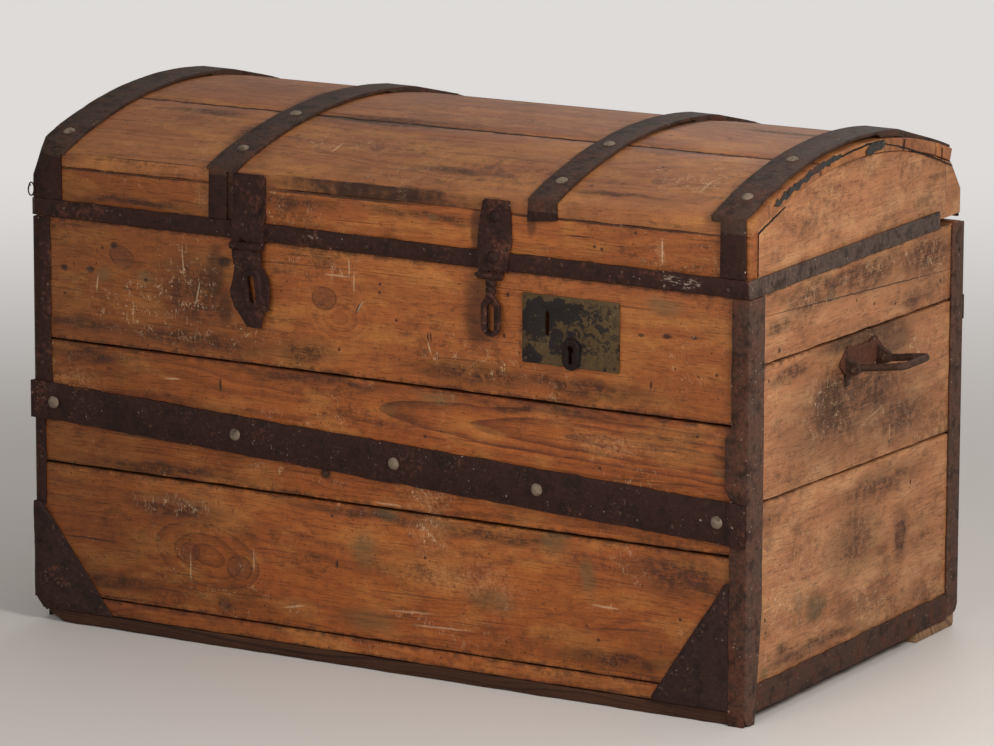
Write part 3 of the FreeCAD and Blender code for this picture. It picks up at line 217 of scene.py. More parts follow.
class Recipe:
    """A material under construction; shade is its colour so far."""

    def __init__(self, name):
        self.material = bpy.data.materials.new(name)
        self.material.use_nodes = True
        self.tree = self.material.node_tree
        self.tree.nodes.clear()
        self.place = self.node("ShaderNodeTexCoord").outputs["Object"]
        parts = self.node("ShaderNodeSeparateXYZ", sockets={"Vector": self.place})
        self.axes = {axis: Value(self, parts.outputs[axis]) for axis in "XYZ"}
        self.shade = None

    def node(self, kind, settings=None, sockets=None):
        """Adds a node: its settings first, then the values or links of its sockets."""
        made = self.tree.nodes.new(kind)
        for name, value in (settings or {}).items():
            setattr(made, name, value)
        for name, value in (sockets or {}).items():
            if isinstance(value, Value):
                value = value.socket
            if isinstance(value, bpy.types.NodeSocket):
                self.tree.links.new(value, made.inputs[name])
            else:
                made.inputs[name].default_value = value
        return made

    def math(self, operation, first, second):
        made = self.node("ShaderNodeMath", {"operation": operation}, {0: first, 1: second})
        return Value(self, made.outputs[0])

    def vector(self, x, y, z=0.0):
        return self.node("ShaderNodeCombineXYZ", sockets={0: x, 1: y, 2: z}).outputs[0]

    def move(self, operation, first, second):
        made = self.node("ShaderNodeVectorMath", {"operation": operation}, {0: first, 1: second})
        return made.outputs["Vector"]

    def size_of(self, vector):
        made = self.node("ShaderNodeVectorMath", {"operation": "LENGTH"}, {0: vector})
        return Value(self, made.outputs["Value"])

    def noise(self, vector, scale=1.0, detail=2.0, roughness=0.5, twist=0.0):
        made = self.node("ShaderNodeTexNoise", sockets={
            "Vector": vector, "Scale": scale, "Detail": detail, "Roughness": roughness,
            "Distortion": twist})
        return Value(self, made.outputs["Fac"])

    def drawn(self, x, y, z, detail, roughness):
        """A noise that is drawn out by its own amount along each axis."""
        return self.noise(self.vector(x, y, z), 1.0, detail, roughness)

    def shaken(self, vector, source, scale, amount):
        """A vector that wanders by up to the amount to each side, as the source changes."""
        made = self.node("ShaderNodeTexNoise", sockets={
            "Vector": source, "Scale": scale, "Detail": 2.0, "Roughness": 0.5})
        middle = self.move("SUBTRACT", made.outputs["Color"], (0.5, 0.5, 0.5))
        return self.move("ADD", vector, self.move("MULTIPLY", middle, (2 * amount,) * 3))

    def line_noise(self, value, detail=1.0):
        made = self.node("ShaderNodeTexNoise", {"noise_dimensions": "1D"},
                         {"W": value, "Scale": 1.0, "Detail": detail, "Roughness": 0.5})
        return Value(self, made.outputs["Fac"])

    def cells(self, vector, scale):
        """Distance to the nearest of scattered points, and that point's own number from 0 to 1."""
        made = self.node("ShaderNodeTexVoronoi", sockets={"Vector": vector, "Scale": scale})
        own = self.node("ShaderNodeSeparateColor", sockets={"Color": made.outputs["Color"]})
        return Value(self, made.outputs["Distance"]), Value(self, own.outputs[0])

    def step(self, value, start, end):
        """0 before start and 1 past end, smoothly; start may be the larger."""
        low, high, first, last = (start, end, 0.0, 1.0) if start < end else (end, start, 1.0, 0.0)
        made = self.node("ShaderNodeMapRange", {"interpolation_type": "SMOOTHSTEP"},
                         {"Value": value, "From Min": low, "From Max": high,
                          "To Min": first, "To Max": last})
        return Value(self, made.outputs["Result"])

    def blend(self, share, first, second):
        """Starts the shade as a colour between two others."""
        made = self.node("ShaderNodeMix", {"data_type": "RGBA"}, {0: share})
        for index, value in ((6, first), (7, second)):
            if isinstance(value, bpy.types.NodeSocket):
                self.tree.links.new(value, made.inputs[index])
            else:
                made.inputs[index].default_value = (*value, 1.0)
        self.shade = made.outputs[2]

    def stain(self, share, tone):
        """Lays a tone over the shade."""
        self.blend(share, self.shade, tone)

    def tint(self, brightness):
        """Makes the shade lighter or darker by a number that varies."""
        self.shade = self.move("MULTIPLY", self.shade, self.vector(brightness, brightness, brightness))

    def finish(self, roughness, bump_height, bump_depth, gloss, metallic=0.0):
        """Joins the recipe to a Principled shader; gloss and metallic are set on its own sockets."""
        bump = self.node("ShaderNodeBump", sockets={
            "Height": bump_height, "Distance": bump_depth, "Strength": 1.0})
        shader = self.node("ShaderNodeBsdfPrincipled", sockets={
            "Base Color": self.shade, "Roughness": roughness, "Normal": bump.outputs[0],
            "Specular IOR Level": gloss, "Metallic": metallic})
        output = self.node("ShaderNodeOutputMaterial")
        self.tree.links.new(shader.outputs[0], output.inputs["Surface"])
        return self.material


# a mark on a face: its middle, its half sizes and its turn in degrees
Mark = namedtuple("Mark", "along across half_along half_across turn", defaults=(0,))


def mark_distance(recipe, face, marks):
    """The nearest mark's distance: 0 in its middle, 1 on its edge."""
    nearest = None
    for mark in (Mark(*values) for values in marks):
        made = recipe.node("ShaderNodeMapping", {"vector_type": "TEXTURE"}, {
            "Vector": face,
            "Location": (mark.along * MM, mark.across * MM, 0),
            "Rotation": (0, 0, math.radians(mark.turn)),
            "Scale": (mark.half_along * MM, mark.half_across * MM, 1)})
        distance = recipe.size_of(made.outputs["Vector"])
        nearest = distance if nearest is None else nearest.lower(distance)
    return nearest


def marked(recipe, face, marks, soft):
    """1 inside the marks and 0 outside them; soft is the share of the radius that fades."""
    return recipe.step(mark_distance(recipe, face, marks), 1 + soft / 2, 1 - soft / 2)


Board = namedtuple("Board", "grain across out light dark ochre ochre_share film_share late_share red_share")


def wood(name, node, board, marks, seed, tones):
    """Old pine with rings, knots, dirt, scratches and pecks, for one board; it also carries painted shadows
    and painted glints, and on the front a painted light falloff.
    """
    recipe = Recipe(name)
    step, stain, drawn = recipe.step, recipe.stain, recipe.drawn
    along, across, depth = (recipe.axes[axis] for axis in (board.grain, board.across, board.out[1]))
    low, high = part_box(node)
    index, out_index = "XYZ".index(board.across), "XYZ".index(board.out[1])
    face = recipe.vector(along, across)
    front, dome = board.out == "-Y", board.out == "+Z"
    bends = recipe.place if dome else face
    shaky = recipe.shaken(face, bends, 90.0, 0.0012)
    loose = recipe.shaken(shaky, bends, 24.0, 0.011)
    side, inward = (high[out_index], -1) if board.out[0] == "+" else (low[out_index], 1)
    outer = 1.0 if dome else step(depth, side + inward * 0.012, side + inward * 0.006)

    def placed(kind):
        way = shaky if kind in CRISP_MARKS else loose
        return marked(recipe, way, marks[kind], FADE[kind])

    # growth rings, bent round the knots; a figure is a nest of rings with sharp outer edges
    warp = drawn(along * 1.7, across * 6.0, depth * 4.0 + seed, 3.0, 0.45)
    rings = across * 95.0 + warp * 21.0 + depth * 60.0 + seed
    if "knots" in marks:
        knot_distance = mark_distance(recipe, shaky, marks["knots"])
        rings = rings + step(knot_distance, 2.8, 0.9) * (knot_distance * 2.4)
    ring = recipe.line_noise(rings, 2.0)
    late = step(ring, 0.44, 0.68)
    if "figure" in marks:
        distance = mark_distance(recipe, recipe.shaken(face, face, 9.0, 0.009), marks["figure"])
        inside = step(distance, 1.12, 0.96)
        saw = recipe.math("FRACT", distance * 3.6, 0.0)
        late = late + inside * (saw * saw * 2.2 - late)
    broad = step(recipe.line_noise(rings * 0.30 + seed, 1.0), 0.42, 0.64)
    fibre = drawn(along * 12.0, across * 620.0, depth * 620.0 + seed, 4.0, 0.6)
    coarse = drawn(along * 7.0, across * 120.0, depth * 90.0 + seed, 3.0, 0.55)
    recipe.blend(late * board.late_share + coarse * 0.34, board.light, board.dark)
    stain(broad * board.red_share, tones.pine_red)
    ochre = drawn(along * 11.0 + seed, across * 26.0, depth * 12.0, 3.0, 0.6)
    stain(step(ochre, 0.46, 0.66) * board.ochre_share, board.ochre)

    # patches where the finish is lighter or darker, and fine dark lines in the grain
    patch = drawn(along * 7.0, across * 12.0, depth * 6.0 + seed, 4.0, 0.6)
    mottle = recipe.noise(recipe.place, 85.0, 5.0, 0.68)
    speckle = recipe.noise(recipe.place, 380.0, 3.0, 0.6)
    recipe.tint(patch * 0.54 + mottle * 0.70 + fibre * 0.68 + speckle * 0.70 - 0.20)
    dash = drawn(along * 48.0, across * 620.0, depth * 400.0 + seed, 3.0, 0.6)
    lines = step(dash, 0.55, 0.68) * LINES
    if front:
        check = drawn(along * 6.5 + seed, across * 230.0 + warp * 9.0, depth * 60.0, 2.0, 0.4)
        lines = lines.higher(step(check, 0.67, 0.72) * CHECKS)
    stain(lines, tones.grime_and_shade)
    # painted light falloff along the front boards: darker towards the left end, and painted shade towards
    # the right
    if front:
        painted_falloff = step(along, PAINTED_FALLOFF_LEFT, PAINTED_FALLOFF_MIDDLE) * 0.44 - step(along, DIM_FROM, DIM_TO) * 0.20
        recipe.tint(painted_falloff + 0.59)

    # dirt: along the edges, in blotches, and where it is placed; then painted shadows and painted shade
    # where their marks are placed
    edge = high[index] - across
    if "bare_front" not in marks:
        edge = edge.lower(across - low[index])
    edge_dirt = step(edge + (mottle - 0.5) * 0.020, 0.0060, -0.001) * EDGE_DIRT
    blotch = step(patch + (mottle - 0.5) * 0.9 + (speckle - 0.5) * 0.3, 0.44, 0.20) * BLOTCHES
    film = drawn(along * 13.0, across * 20.0, seed * 2.0, 5.0, 0.72)
    dirt = edge_dirt.higher(blotch).higher(step(film, 0.50, 0.68) * board.film_share)
    if "dirt" in marks:
        streaky = step(mottle * 0.6 + fibre * 0.4 + (speckle - 0.5) * 0.4, 0.38, 0.58)
        dirt = dirt.higher(placed("dirt") * outer * (streaky * 0.64 + 0.20))
    stain(dirt, tones.grime_and_shade)
    # painted shadows: cast shadows and shade beside the fittings, laid in the grime colour
    if "shadows" in marks:
        stain(placed("shadows") * outer * SHADOWS, tones.grime_and_shade)
    if "green" in marks:
        stain(placed("green") * outer * (0.20 + mottle * 0.55), tones.green_stain)
    if "pale" in marks:
        dusty = step(speckle * 0.5 + mottle * 0.5, 0.44, 0.62)
        stain(placed("pale") * outer * (0.04 + dusty * 0.36), tones.pine_worn)
    if "knots" in marks:
        rim = step(knot_distance, 1.20, 1.02) * step(knot_distance, 0.86, 1.0)
        stain(step(knot_distance, 1.15, 0.70) * KNOT_HEART, tones.knot)
        stain(rim * KNOT_RIM * step(mottle, 0.34, 0.56), tones.grime_and_shade)

    # pecks: small dark holes, thicker in places
    distance, own = recipe.cells(shaky, 120.0)
    crowd = recipe.noise(recipe.vector(along, across, depth + seed), 9.0, 2.0)
    pecks = step(distance, 0.20, 0.07) * step(own + (crowd - 0.5) * 1.8, 0.74, 0.84)
    stain(pecks * PECKS, tones.grime_and_shade)
    if "holes" in marks:
        stain(placed("holes") * outer * HOLES, tones.grime_and_shade)

    # scratches, partly painted glints on raised fibres: upright ones, curled hair-thin ones and flakes, kept
    # to the scraped places
    level = depth * 300.0 + seed if dome else seed
    close, sparse = (640.0, 80.0) if front else (90.0, 640.0)
    streak = drawn(along * close, across * sparse, level, 3.0, 0.6)
    curl = drawn(along * 90.0, across * 42.0, level, 3.0, 0.6)
    bend = step((curl - 0.5).higher(0.5 - curl), 0.016, 0.004)
    worn = recipe.noise(recipe.vector(along, across, seed), 74.0, 2.0)
    # the scraped share that lies over every board: scratches, partly painted glints on raised fibres
    scraped = step(crowd + (mottle - 0.5) * 0.5, 0.50, 0.72) * 0.55
    if "scraped" in marks:
        scraped = scraped.higher(placed("scraped"))
    hairs = bend * step(worn, 0.50, 0.60)
    flakes = step(distance, 0.20, 0.08) * step(own, 0.20, 0.12)
    scratch = (step(streak, 0.62, 0.70) * step(worn, 0.44, 0.56)).higher(hairs).higher(flakes)
    scratch = scratch * scraped * outer
    if "scores" in marks:
        scratch = scratch.higher(placed("scores") * outer * (mottle * 1.3))
    stain(scratch * SCRATCHES, tones.fleck)

    height = ring * 0.12 + fibre * 0.32 + coarse * 0.18 + mottle * 0.34 - pecks * 0.5 - lines * 0.5
    roughness = 0.46 + mottle * 0.18 + dirt * 0.10 + scratch * 0.12
    return recipe.finish(roughness, height, 0.0011, gloss=0.30)


def plain_wood(name, light, dark, seed, across="Y"):
    """Dry wood that was never finished, with its grain along X."""
    recipe = Recipe(name)
    along, side, third = (recipe.axes[axis] for axis in ("X", across, "Z" if across == "Y" else "Y"))
    warp = recipe.noise(recipe.vector(along * 2.0, side * 9.0, third * 9.0 + seed), 1.0, 2.0)
    ring = recipe.line_noise(side * 130.0 + third * 80.0 + warp * 12.0, 2.0)
    fibre = recipe.noise(recipe.vector(along * 10.0, side * 480.0, third * 480.0), 1.0, 3.0)
    patch = recipe.noise(recipe.place, 12.0, 4.0, 0.6)
    recipe.blend(recipe.step(ring, 0.46, 0.66) * 0.7 + fibre * 0.3, light, dark)
    recipe.tint(0.30 + patch * 0.80 + recipe.noise(recipe.place, 150.0, 3.0, 0.65) * 0.6)
    return recipe.finish(0.66 + patch * 0.15, fibre * 0.5 + ring * 0.3, 0.0010, gloss=0.2)


def iron(name, tones, seed, brown=0.5, flecks=0.5, base=None, dark_below=None, streaks=(), grey_end=0.0):
    """Forged iron under an old brown skin, with hammer marks and bright flecks, which are partly painted
    glints.
    """
    recipe = Recipe(name)
    place = recipe.move("ADD", recipe.place, (seed, seed * 0.7, seed * 1.3))
    broad = recipe.noise(place, 30.0, 4.0, 0.62)
    fine = recipe.noise(place, 170.0, 4.0, 0.65)
    pit, own = recipe.cells(recipe.shaken(place, place, 60.0, 0.006), 130.0)
    skin = recipe.step(broad + (fine - 0.5) * 0.7, 0.66 - brown * 0.40, 0.90 - brown * 0.20)
    recipe.blend(skin, base or tones.iron, tones.iron_brown)
    if dark_below is not None:
        recipe.stain(recipe.step(recipe.axes["Z"], dark_below, dark_below - 0.002), tones.iron)
    if grey_end:
        end = recipe.step(recipe.axes["X"] * recipe.axes["X"], END_FROM ** 2, END_FULL ** 2)
        recipe.stain(end * (0.15 + fine * 1.2 + broad * 0.5) * grey_end, tones.iron_grey)
    black = recipe.step(recipe.noise(place, 52.0, 3.0, 0.6), 0.50, 0.34)
    recipe.stain(black * 0.60, tones.iron_black)
    # pale flecks in the pits, partly painted glints; flecks sets how many
    bright = recipe.step(own, 0.90 - flecks * 0.14, 0.97) * recipe.step(pit, 0.20, 0.08)
    dust = recipe.step(recipe.noise(place, 420.0, 2.0, 0.6), 0.64, 0.74) * recipe.step(broad, 0.40, 0.60)
    pale = (bright + dust * 0.6) * (0.35 + flecks * 0.5)
    if streaks:
        face = recipe.vector(recipe.axes["X"], recipe.axes["Z"])
        torn = recipe.noise(recipe.move("MULTIPLY", face, (110.0, 330.0, 0.0)), 1.0, 3.0, 0.65, 0.8)
        pale = pale.higher(marked(recipe, face, streaks, 0.9) * recipe.step(torn, 0.52, 0.60) * 0.8)
    recipe.stain(pale, tones.iron_pale)
    recipe.tint(fine * 1.3 + 0.35)
    height = broad * 0.55 + fine * 0.45 - recipe.step(pit, 0.22, 0.05) * 0.35
    return recipe.finish(0.50 + fine * 0.22 + skin * 0.08, height, 0.0022, gloss=0.14)


def aged_brass(name, tones, marks):
    """The lock plate's brass, ochre with blue-black patches and a dark web."""
    recipe = Recipe(name)
    face = recipe.vector(recipe.axes["X"], recipe.axes["Z"])
    shaky = recipe.shaken(face, face, 60.0, 0.008)
    fine = recipe.noise(recipe.place, 210.0, 4.0, 0.65)
    broad = recipe.noise(recipe.place, 70.0, 4.0, 0.6)
    recipe.blend(broad * 0.5, tones.brass, tones.iron_brown)
    recipe.tint(0.30 + fine * 1.0)
    placed = marked(recipe, shaky, marks["dark"], 0.9)
    dark = recipe.step(broad + (fine - 0.5) * 0.6 + placed * 0.34 - 0.17, 0.44, 0.54)
    recipe.stain(dark * 0.92, tones.brass_dark)
    curls = recipe.step(recipe.noise(shaky, 130.0, 3.0, 0.62, 0.6), 0.50, 0.545)
    curls = curls * marked(recipe, shaky, marks["web"], 0.9)
    recipe.stain(curls * 0.85, tones.brass_dark)
    speck = recipe.step(recipe.noise(recipe.place, 520.0, 2.0), 0.68, 0.76)
    recipe.stain(speck * 0.35, tones.fleck)
    height = fine * 0.5 + broad * 0.4 - curls * 0.4
    return recipe.finish(0.46 + fine * 0.25, height, 0.0009, gloss=0.25, metallic=0.10)


# ---------------------------------------------------------------- what is seen on each board
FRONT_TOP = {
    "figure": [(-58, 432, 44, 31, -8)],
    "shadows": [(134, 462, 19, 48), (-236, 470, 12, 34), (-222, 425, 10, 20)],
    "knots": [(-372, 475, 17, 12, -20), (-81, 454, 16, 13)],
    "dirt": [(-268, 381, 108, 13), (-110, 384, 40, 14), (128, 384, 82, 14), (-270, 440, 46, 46),
        (-432, 384, 60, 10), (270, 386, 90, 10)],
    "green": [(-337, 449, 12, 8), (385, 496, 22, 9), (-400, 450, 12, 9)],
    "holes": [(-383, 488, 5, 4), (-456, 453, 5, 4), (-418, 454, 6, 4), (-223, 484, 9, 7),
        (-33, 447, 2, 8, -30), (-3, 480, 2, 2), (-3, 470, 2, 2), (20, 438, 2, 2), (134, 382, 2, 2),
        (-60, 393, 2, 2), (64, 422, 1.3, 6), (68, 423, 1.3, 6), (174, 486, 2, 3), (169, 436, 2, 3),
        (389, 459, 6, 3), (368, 398, 1.5, 5), (354, 457, 4, 2), (425, 461, 4, 2), (455, 420, 2, 2),
        (-456, 420, 2, 2), (-400, 483, 2, 2), (-337, 449, 3, 2)],
    "scraped": [(-283, 435, 48, 58), (-230, 400, 50, 24), (-62, 494, 20, 13), (-131, 491, 22, 12),
        (-350, 415, 60, 30), (68, 402, 12, 8), (140, 400, 60, 20)],
    "scores": [(-283, 480, 1.0, 18, 4), (-262, 440, 1.0, 14, -12), (-408, 438, 0.9, 10, -6),
        (-39, 478, 1.0, 12), (-62, 484, 17, 1.0), (-46, 495, 1.0, 12), (-31, 449, 1.1, 8, -30),
        (66, 410, 1.2, 8, 20)],
}
FRONT_MIDDLE = {
    "figure": [(380, 320, 462, 35, -1.5)],
    "dirt": [(-420, 345, 50, 8), (-100, 352, 120, 6), (-320, 215, 120, 7), (220, 352, 120, 6)],
    "green": [(76, 350, 24, 6), (460, 303, 10, 5)],
    "pale": [(-440, 300, 34, 26), (320, 320, 60, 10), (66, 226, 25, 20)],
    "holes": [(-230, 330, 2, 8), (60, 300, 2, 2), (300, 290, 2, 2), (430, 344, 2, 2),
        (-80, 238, 7.5, 7.5)],
    "scraped": [(-140, 228, 80, 10), (60, 225, 40, 14)],
    "scores": [(10, 210, 18, 1.2), (-300, 330, 12, 1.0, 5)],
}
FRONT_LOWER = {
    "figure": [(-250, 112, 92, 46, -8)],
    "knots": [(-275, 115, 13, 11), (-204, 103, 17, 15), (-225, 57, 8, 7)],
    "dirt": [(-298, 168, 58, 14), (-225, 57, 14, 12), (410, 172, 66, 26), (0, 195, 120, 7),
        (-380, 62, 70, 9), (160, 190, 90, 8), (330, 60, 80, 10)],
    "green": [(7, 208, 15, 18), (-27, 151, 16, 18), (-20, 61, 35, 14), (237, 201, 19, 20),
        (283, 153, 10, 20), (150, 110, 30, 14)],
    "pale": [(66, 190, 24, 26), (-300, 176, 40, 4), (120, 130, 60, 20)],
    "holes": [(-64, 126, 2, 5), (-71, 186, 2, 2), (-422, 113, 38, 1.1), (300, 80, 2, 2), (60, 150, 2, 2),
        (410, 120, 2, 2)],
    "scraped": [(-125, 65, 16, 9), (42, 78, 30, 8), (82, 66, 40, 6), (308, 122, 18, 6), (66, 180, 24, 24),
        (-300, 172, 50, 12)],
    "scores": [(-275, 95, 1.1, 16), (-183, 115, 1.1, 12), (-125, 65, 14, 1.3, 12), (42, 80, 28, 1.2, 3),
        (82, 66, 38, 1.1, 2), (308, 122, 17, 1.3)],
}
LID_FRONT = {
    # the marks at -213 paint the shade in the gap between the left strap's leg and the hasp plate
    "shadows": [(-213, 558, 9, 40), (130, 560, 8, 30), (205, 573, 6, 14)],
    "dirt": [(-150, 566, 90, 9), (60, 570, 90, 6), (-350, 545, 90, 5)],
    "green": [(68, 567, 7, 6)],
    "pale": [(381, 558, 5, 18), (-255, 560, 12, 18)],
    "holes": [(-370, 577.5, 130, 1.3, 0.5), (-60, 580.5, 120, 2.2, 0.5), (320, 584.5, 170, 1.6, 0.5),
        (-213, 556, 7, 36), (271, 566, 20, 0.9), (290, 556, 2, 2), (300, 554, 2, 2), (345, 578, 2, 2)],
    "scraped": [(229, 546, 6, 4), (-240, 565, 14, 16), (400, 545, 40, 6)],
    "scores": [(381, 560, 1.2, 14)],
}
DOME_FRONT = {
    "knots": [(338, -206, 9, 6), (-60, -190, 9, 6)],
    "bare_front": True,
    "shadows": [(-100, -108, 90, 5), (330, -109, 60, 3), (-12, -280, 156, 4)],
    "dirt": [(-12, -280, 156, 5), (67, -228, 46, 7), (-100, -112, 80, 7), (300, -244, 60, 5),
        (-330, -130, 50, 10), (-250, -190, 12, 30)],
    # the hole at -213 paints the shade at the top of that gap, on the board's edge
    "holes": [(0, -106, 520, 1.6), (-213, -280, 7, 10), (328, -173, 2, 2), (320, -165, 2, 2),
        (-470, -120, 2, 3), (260, -230, 2, 2), (-330, -275.4, 82, 0.9), (-90, -278.4, 50, 2.2),
        (-40, -278.2, 46, 2.4), (14, -278.2, 50, 2.4), (84, -278.8, 50, 1.9)],
    "scraped": [(-110, -183, 64, 30), (328, -173, 20, 18), (380, -190, 50, 34)],
    "scores": [(-110, -200, 1.5, 12), (400, -205, 1.2, 16)],
}
DOME_CROWN = {
    "shadows": [(-100, -102, 90, 5), (246, 20, 10, 60)],
    "dirt": [(-100, -92, 84, 6), (-246, 0, 10, 80), (196, 20, 8, 60), (380, 30, 60, 10)],
    "holes": [(0, -104, 520, 1.5), (267, -48, 3, 2), (342, -38, 3, 2), (71, -40, 3, 2), (35, -20, 2, 2)],
    "scraped": [(60, -60, 80, 20)],
}
END_TOP = {
    "knots": [(-69, 486, 10, 9)],
    "dirt": [(-129, 488, 50, 16), (28, 490, 80, 20), (182, 486, 80, 24), (-30, 500, 200, 10),
        (150, 440, 30, 12), (-200, 470, 30, 10)],
    "green": [(-69, 486, 12, 10)],
    "holes": [(-2, 464, 2, 2), (44, 452, 2, 2), (224, 448, 3, 3), (102, 442, 2, 2), (-200, 440, 3, 3),
        (0, 473, 240, 0.9, -3.5)],
    "scraped": [(60, 496, 120, 16), (-120, 486, 60, 16), (200, 480, 50, 30)],
}
END_MIDDLE = {
    "dirt": [(0, 345, 150, 62), (40, 352, 70, 40), (20, 416, 120, 18), (120, 300, 70, 30),
        (-170, 405, 50, 10), (-40, 370, 60, 36)],
    "shadows": [(20, 418, 96, 14), (100, 396, 46, 16), (-70, 350, 40, 30)],
    "pale": [(38, 315, 40, 9)],
    "holes": [(61, 357, 3, 2), (92, 272, 2.5, 3), (-226, 408, 2, 2), (-240, 395, 2, 2)],
    "scraped": [(38, 315, 44, 12), (-80, 345, 60, 40), (170, 380, 50, 20)],
    "scores": [(92, 284, 1.0, 14), (50, 316, 26, 0.6, 10)],
}
END_LOWER = {
    "knots": [(125, 149, 12, 17)],
    "dirt": [(125, 149, 20, 34), (-97, 109, 30, 18), (-185, 74, 14, 11), (60, 225, 110, 16),
        (-100, 60, 120, 8), (0, 170, 60, 40)],
    "green": [(-97, 109, 20, 14), (-230, 58, 9, 8)],
    "pale": [(-64, 180, 50, 26), (60, 235, 40, 6)],
    "holes": [(-220, 240, 2, 2), (150, 210, 2, 3), (-228, 120, 2, 2), (-226, 104, 2, 2)],
    "scraped": [(125, 185, 5, 30), (-160, 150, 60, 50), (60, 80, 70, 30)],
}
PLAIN = {
    "dirt": [(60, 320, 160, 30), (-260, 140, 120, 26), (240, 450, 120, 20)],
}
LOCK_MARKS = {
    "dark": [(216, 462, 22, 26), (250, 474, 24, 16), (206, 418, 14, 14), (242, 440, 10, 18),
        (262, 430, 13, 20)],
    "web": [(290, 452, 36, 36)],
}
BAND_STREAKS = [(404, 526, 20, 6, -8), (424, 527, 12, 5, 8), (386, 526, 2, 9), (-95, 529, 7, 3)]

# outlines in (y, z) on the dome's right end: the peeled iron, and the joints on two faces
PEELED = [
    [(-224, 616), (-216, 623), (-210, 620), (-198, 628), (-184, 631), (-176, 634), (-152, 637), (-132, 643),
        (-112, 647), (-90, 649), (-72, 652), (-54, 651), (-58, 646), (-76, 645), (-88, 642.5), (-102, 642),
        (-116, 638), (-128, 638), (-140, 632), (-152, 632), (-162, 627), (-176, 627), (-186, 621),
        (-200, 620), (-212, 614)],
    [(10, 644), (22, 650), (40, 651), (58, 649), (62, 643), (50, 639), (36, 641), (24, 637), (12, 639)],
]
BOARD_JOINTS = [
    [(-56, 648.5), (-20, 651.0), (20, 652.0), (60, 651.0), (60, 649.0), (20, 649.6), (-20, 648.6),
        (-56, 646.5)],
    [(66, 644.5), (115, 632.0), (180, 612.5), (246, 589.5), (246, 588.0), (180, 610.5), (115, 630.0),
        (66, 643.0)],
    [(112, 631), (113.6, 631), (116, 642), (114, 642)],
    [(216, 600), (217.6, 600), (219, 614), (217, 615)],
]
PANEL_JOINTS = [
    [(-257, 590.5), (-243, 595.0), (-229, 599.0), (-209, 605.0), (-190, 610.2), (-190, 609.0),
        (-209, 603.0), (-229, 596.6), (-243, 592.4), (-257, 587.4)],
    [(-258.0, 588), (-256.4, 588), (-256.4, 538), (-257.6, 538)],
]


# ---------------------------------------------------------------- modelling by hand
def only_none():
    """Leaves edit mode and selects nothing."""
    if bpy.context.mode != "OBJECT":
        bpy.ops.object.mode_set(mode="OBJECT")
    bpy.ops.object.select_all(action="DESELECT")


def only(piece):
    """Makes one object the only selected and the active one."""
    only_none()
    piece.select_set(True)
    bpy.context.view_layer.objects.active = piece


def open_mesh(piece):
    """Enters edit mode on one object, with all of it selected."""
    only(piece)
    bpy.ops.object.mode_set(mode="EDIT")
    bpy.ops.mesh.select_all(action="SELECT")


def close_mesh():
    bpy.ops.object.mode_set(mode="OBJECT")


def linked(name, data):
    """A new object in the scene."""
    made = bpy.data.objects.new(name, data)
    bpy.context.scene.collection.objects.link(made)
    return made


def merged_copy(node, name):
    """A welded copy of a CAD node's mesh, as a new piece at the same place."""
    piece = linked(name, frame["nodes"][node].data.copy())
    open_mesh(piece)
    bpy.ops.mesh.remove_doubles(threshold=0.00002)
    bpy.ops.mesh.dissolve_limited(angle_limit=math.radians(0.8))
    close_mesh()
    if "sharp_face" in piece.data.attributes:
        piece.data.attributes.remove(piece.data.attributes["sharp_face"])
    return piece


def slice_along(piece, axis, pitch):
    """Cuts a piece across an axis at even steps, so that its long edges can wander."""
    places = [vertex.co["XYZ".index(axis)] for vertex in piece.data.vertices]
    low, high = min(places), max(places)
    count = max(1, round((high - low) / pitch))
    normal = [float(name == axis) for name in "XYZ"]
    open_mesh(piece)
    for step in range(1, count):
        place = low + (high - low) * (step + CUT_SHIFT) / count
        bpy.ops.mesh.select_all(action="SELECT")
        bpy.ops.mesh.bisect(plane_co=[place * part for part in normal], plane_no=normal)
    close_mesh()


def vertex_group(piece, name, indices):
    piece.vertex_groups.new(name=name).add(indices, 1.0, "REPLACE")


def sharp_vertices(piece):
    """The vertices that lie on sharp edges."""
    mesh = bmesh.new()
    mesh.from_mesh(piece.data)
    sharp = {vertex.index for edge in mesh.edges for vertex in edge.verts
             if len(edge.link_faces) == 2 and edge.calc_face_angle() > SHARP}
    mesh.free()
    return sorted(sharp)


def clouds(size, contrast):
    """A soft cloud pattern for Displace modifiers."""
    name = f"clouds_{size:.4f}_{contrast:.1f}"
    texture = bpy.data.textures.get(name)
    if texture is None:
        texture = bpy.data.textures.new(name, "CLOUDS")
        texture.noise_scale = size
        texture.noise_depth = 2
        texture.contrast = contrast
    return texture


def modify(piece, kind, **settings):
    """Applies one modifier with these settings."""
    modifier = piece.modifiers.new(kind.title(), kind)
    for name, value in settings.items():
        setattr(modifier, name, value)
    only(piece)
    bpy.ops.object.modifier_apply(modifier=modifier.name)


def displace(piece, direction, strength, size, group="", middle=0.5, contrast=1.0):
    modify(piece, "DISPLACE", texture=clouds(size, contrast), texture_coords="LOCAL", direction=direction,
           strength=strength, mid_level=middle, vertex_group=group)


def bevel(piece, width):
    modify(piece, "BEVEL", width=width, segments=2, limit_method="ANGLE", angle_limit=SHARP,
           harden_normals=False)


def smooth(piece, degrees):
    only(piece)
    bpy.ops.object.shade_smooth_by_angle(angle=math.radians(degrees))


def paint(piece, material):
    """Gives an object one material; a CAD node with a new finish otherwise stays as it is."""
    piece.data.materials.clear()
    piece.data.materials.append(material)


def mount(piece, material, slot, body, *nodes):
    """Gives a finished piece its material and its body, and hides the nodes it stands for; its slot is not
    used.
    """
    paint(piece, material)
    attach(piece, body)
    if nodes:
        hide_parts(*nodes)


def stand_in(piece, material, slot, node):
    """Mounts a finished piece in the place of the CAD node it was made from."""
    mount(piece, material, slot, frame["nodes"][node]["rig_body"], node)


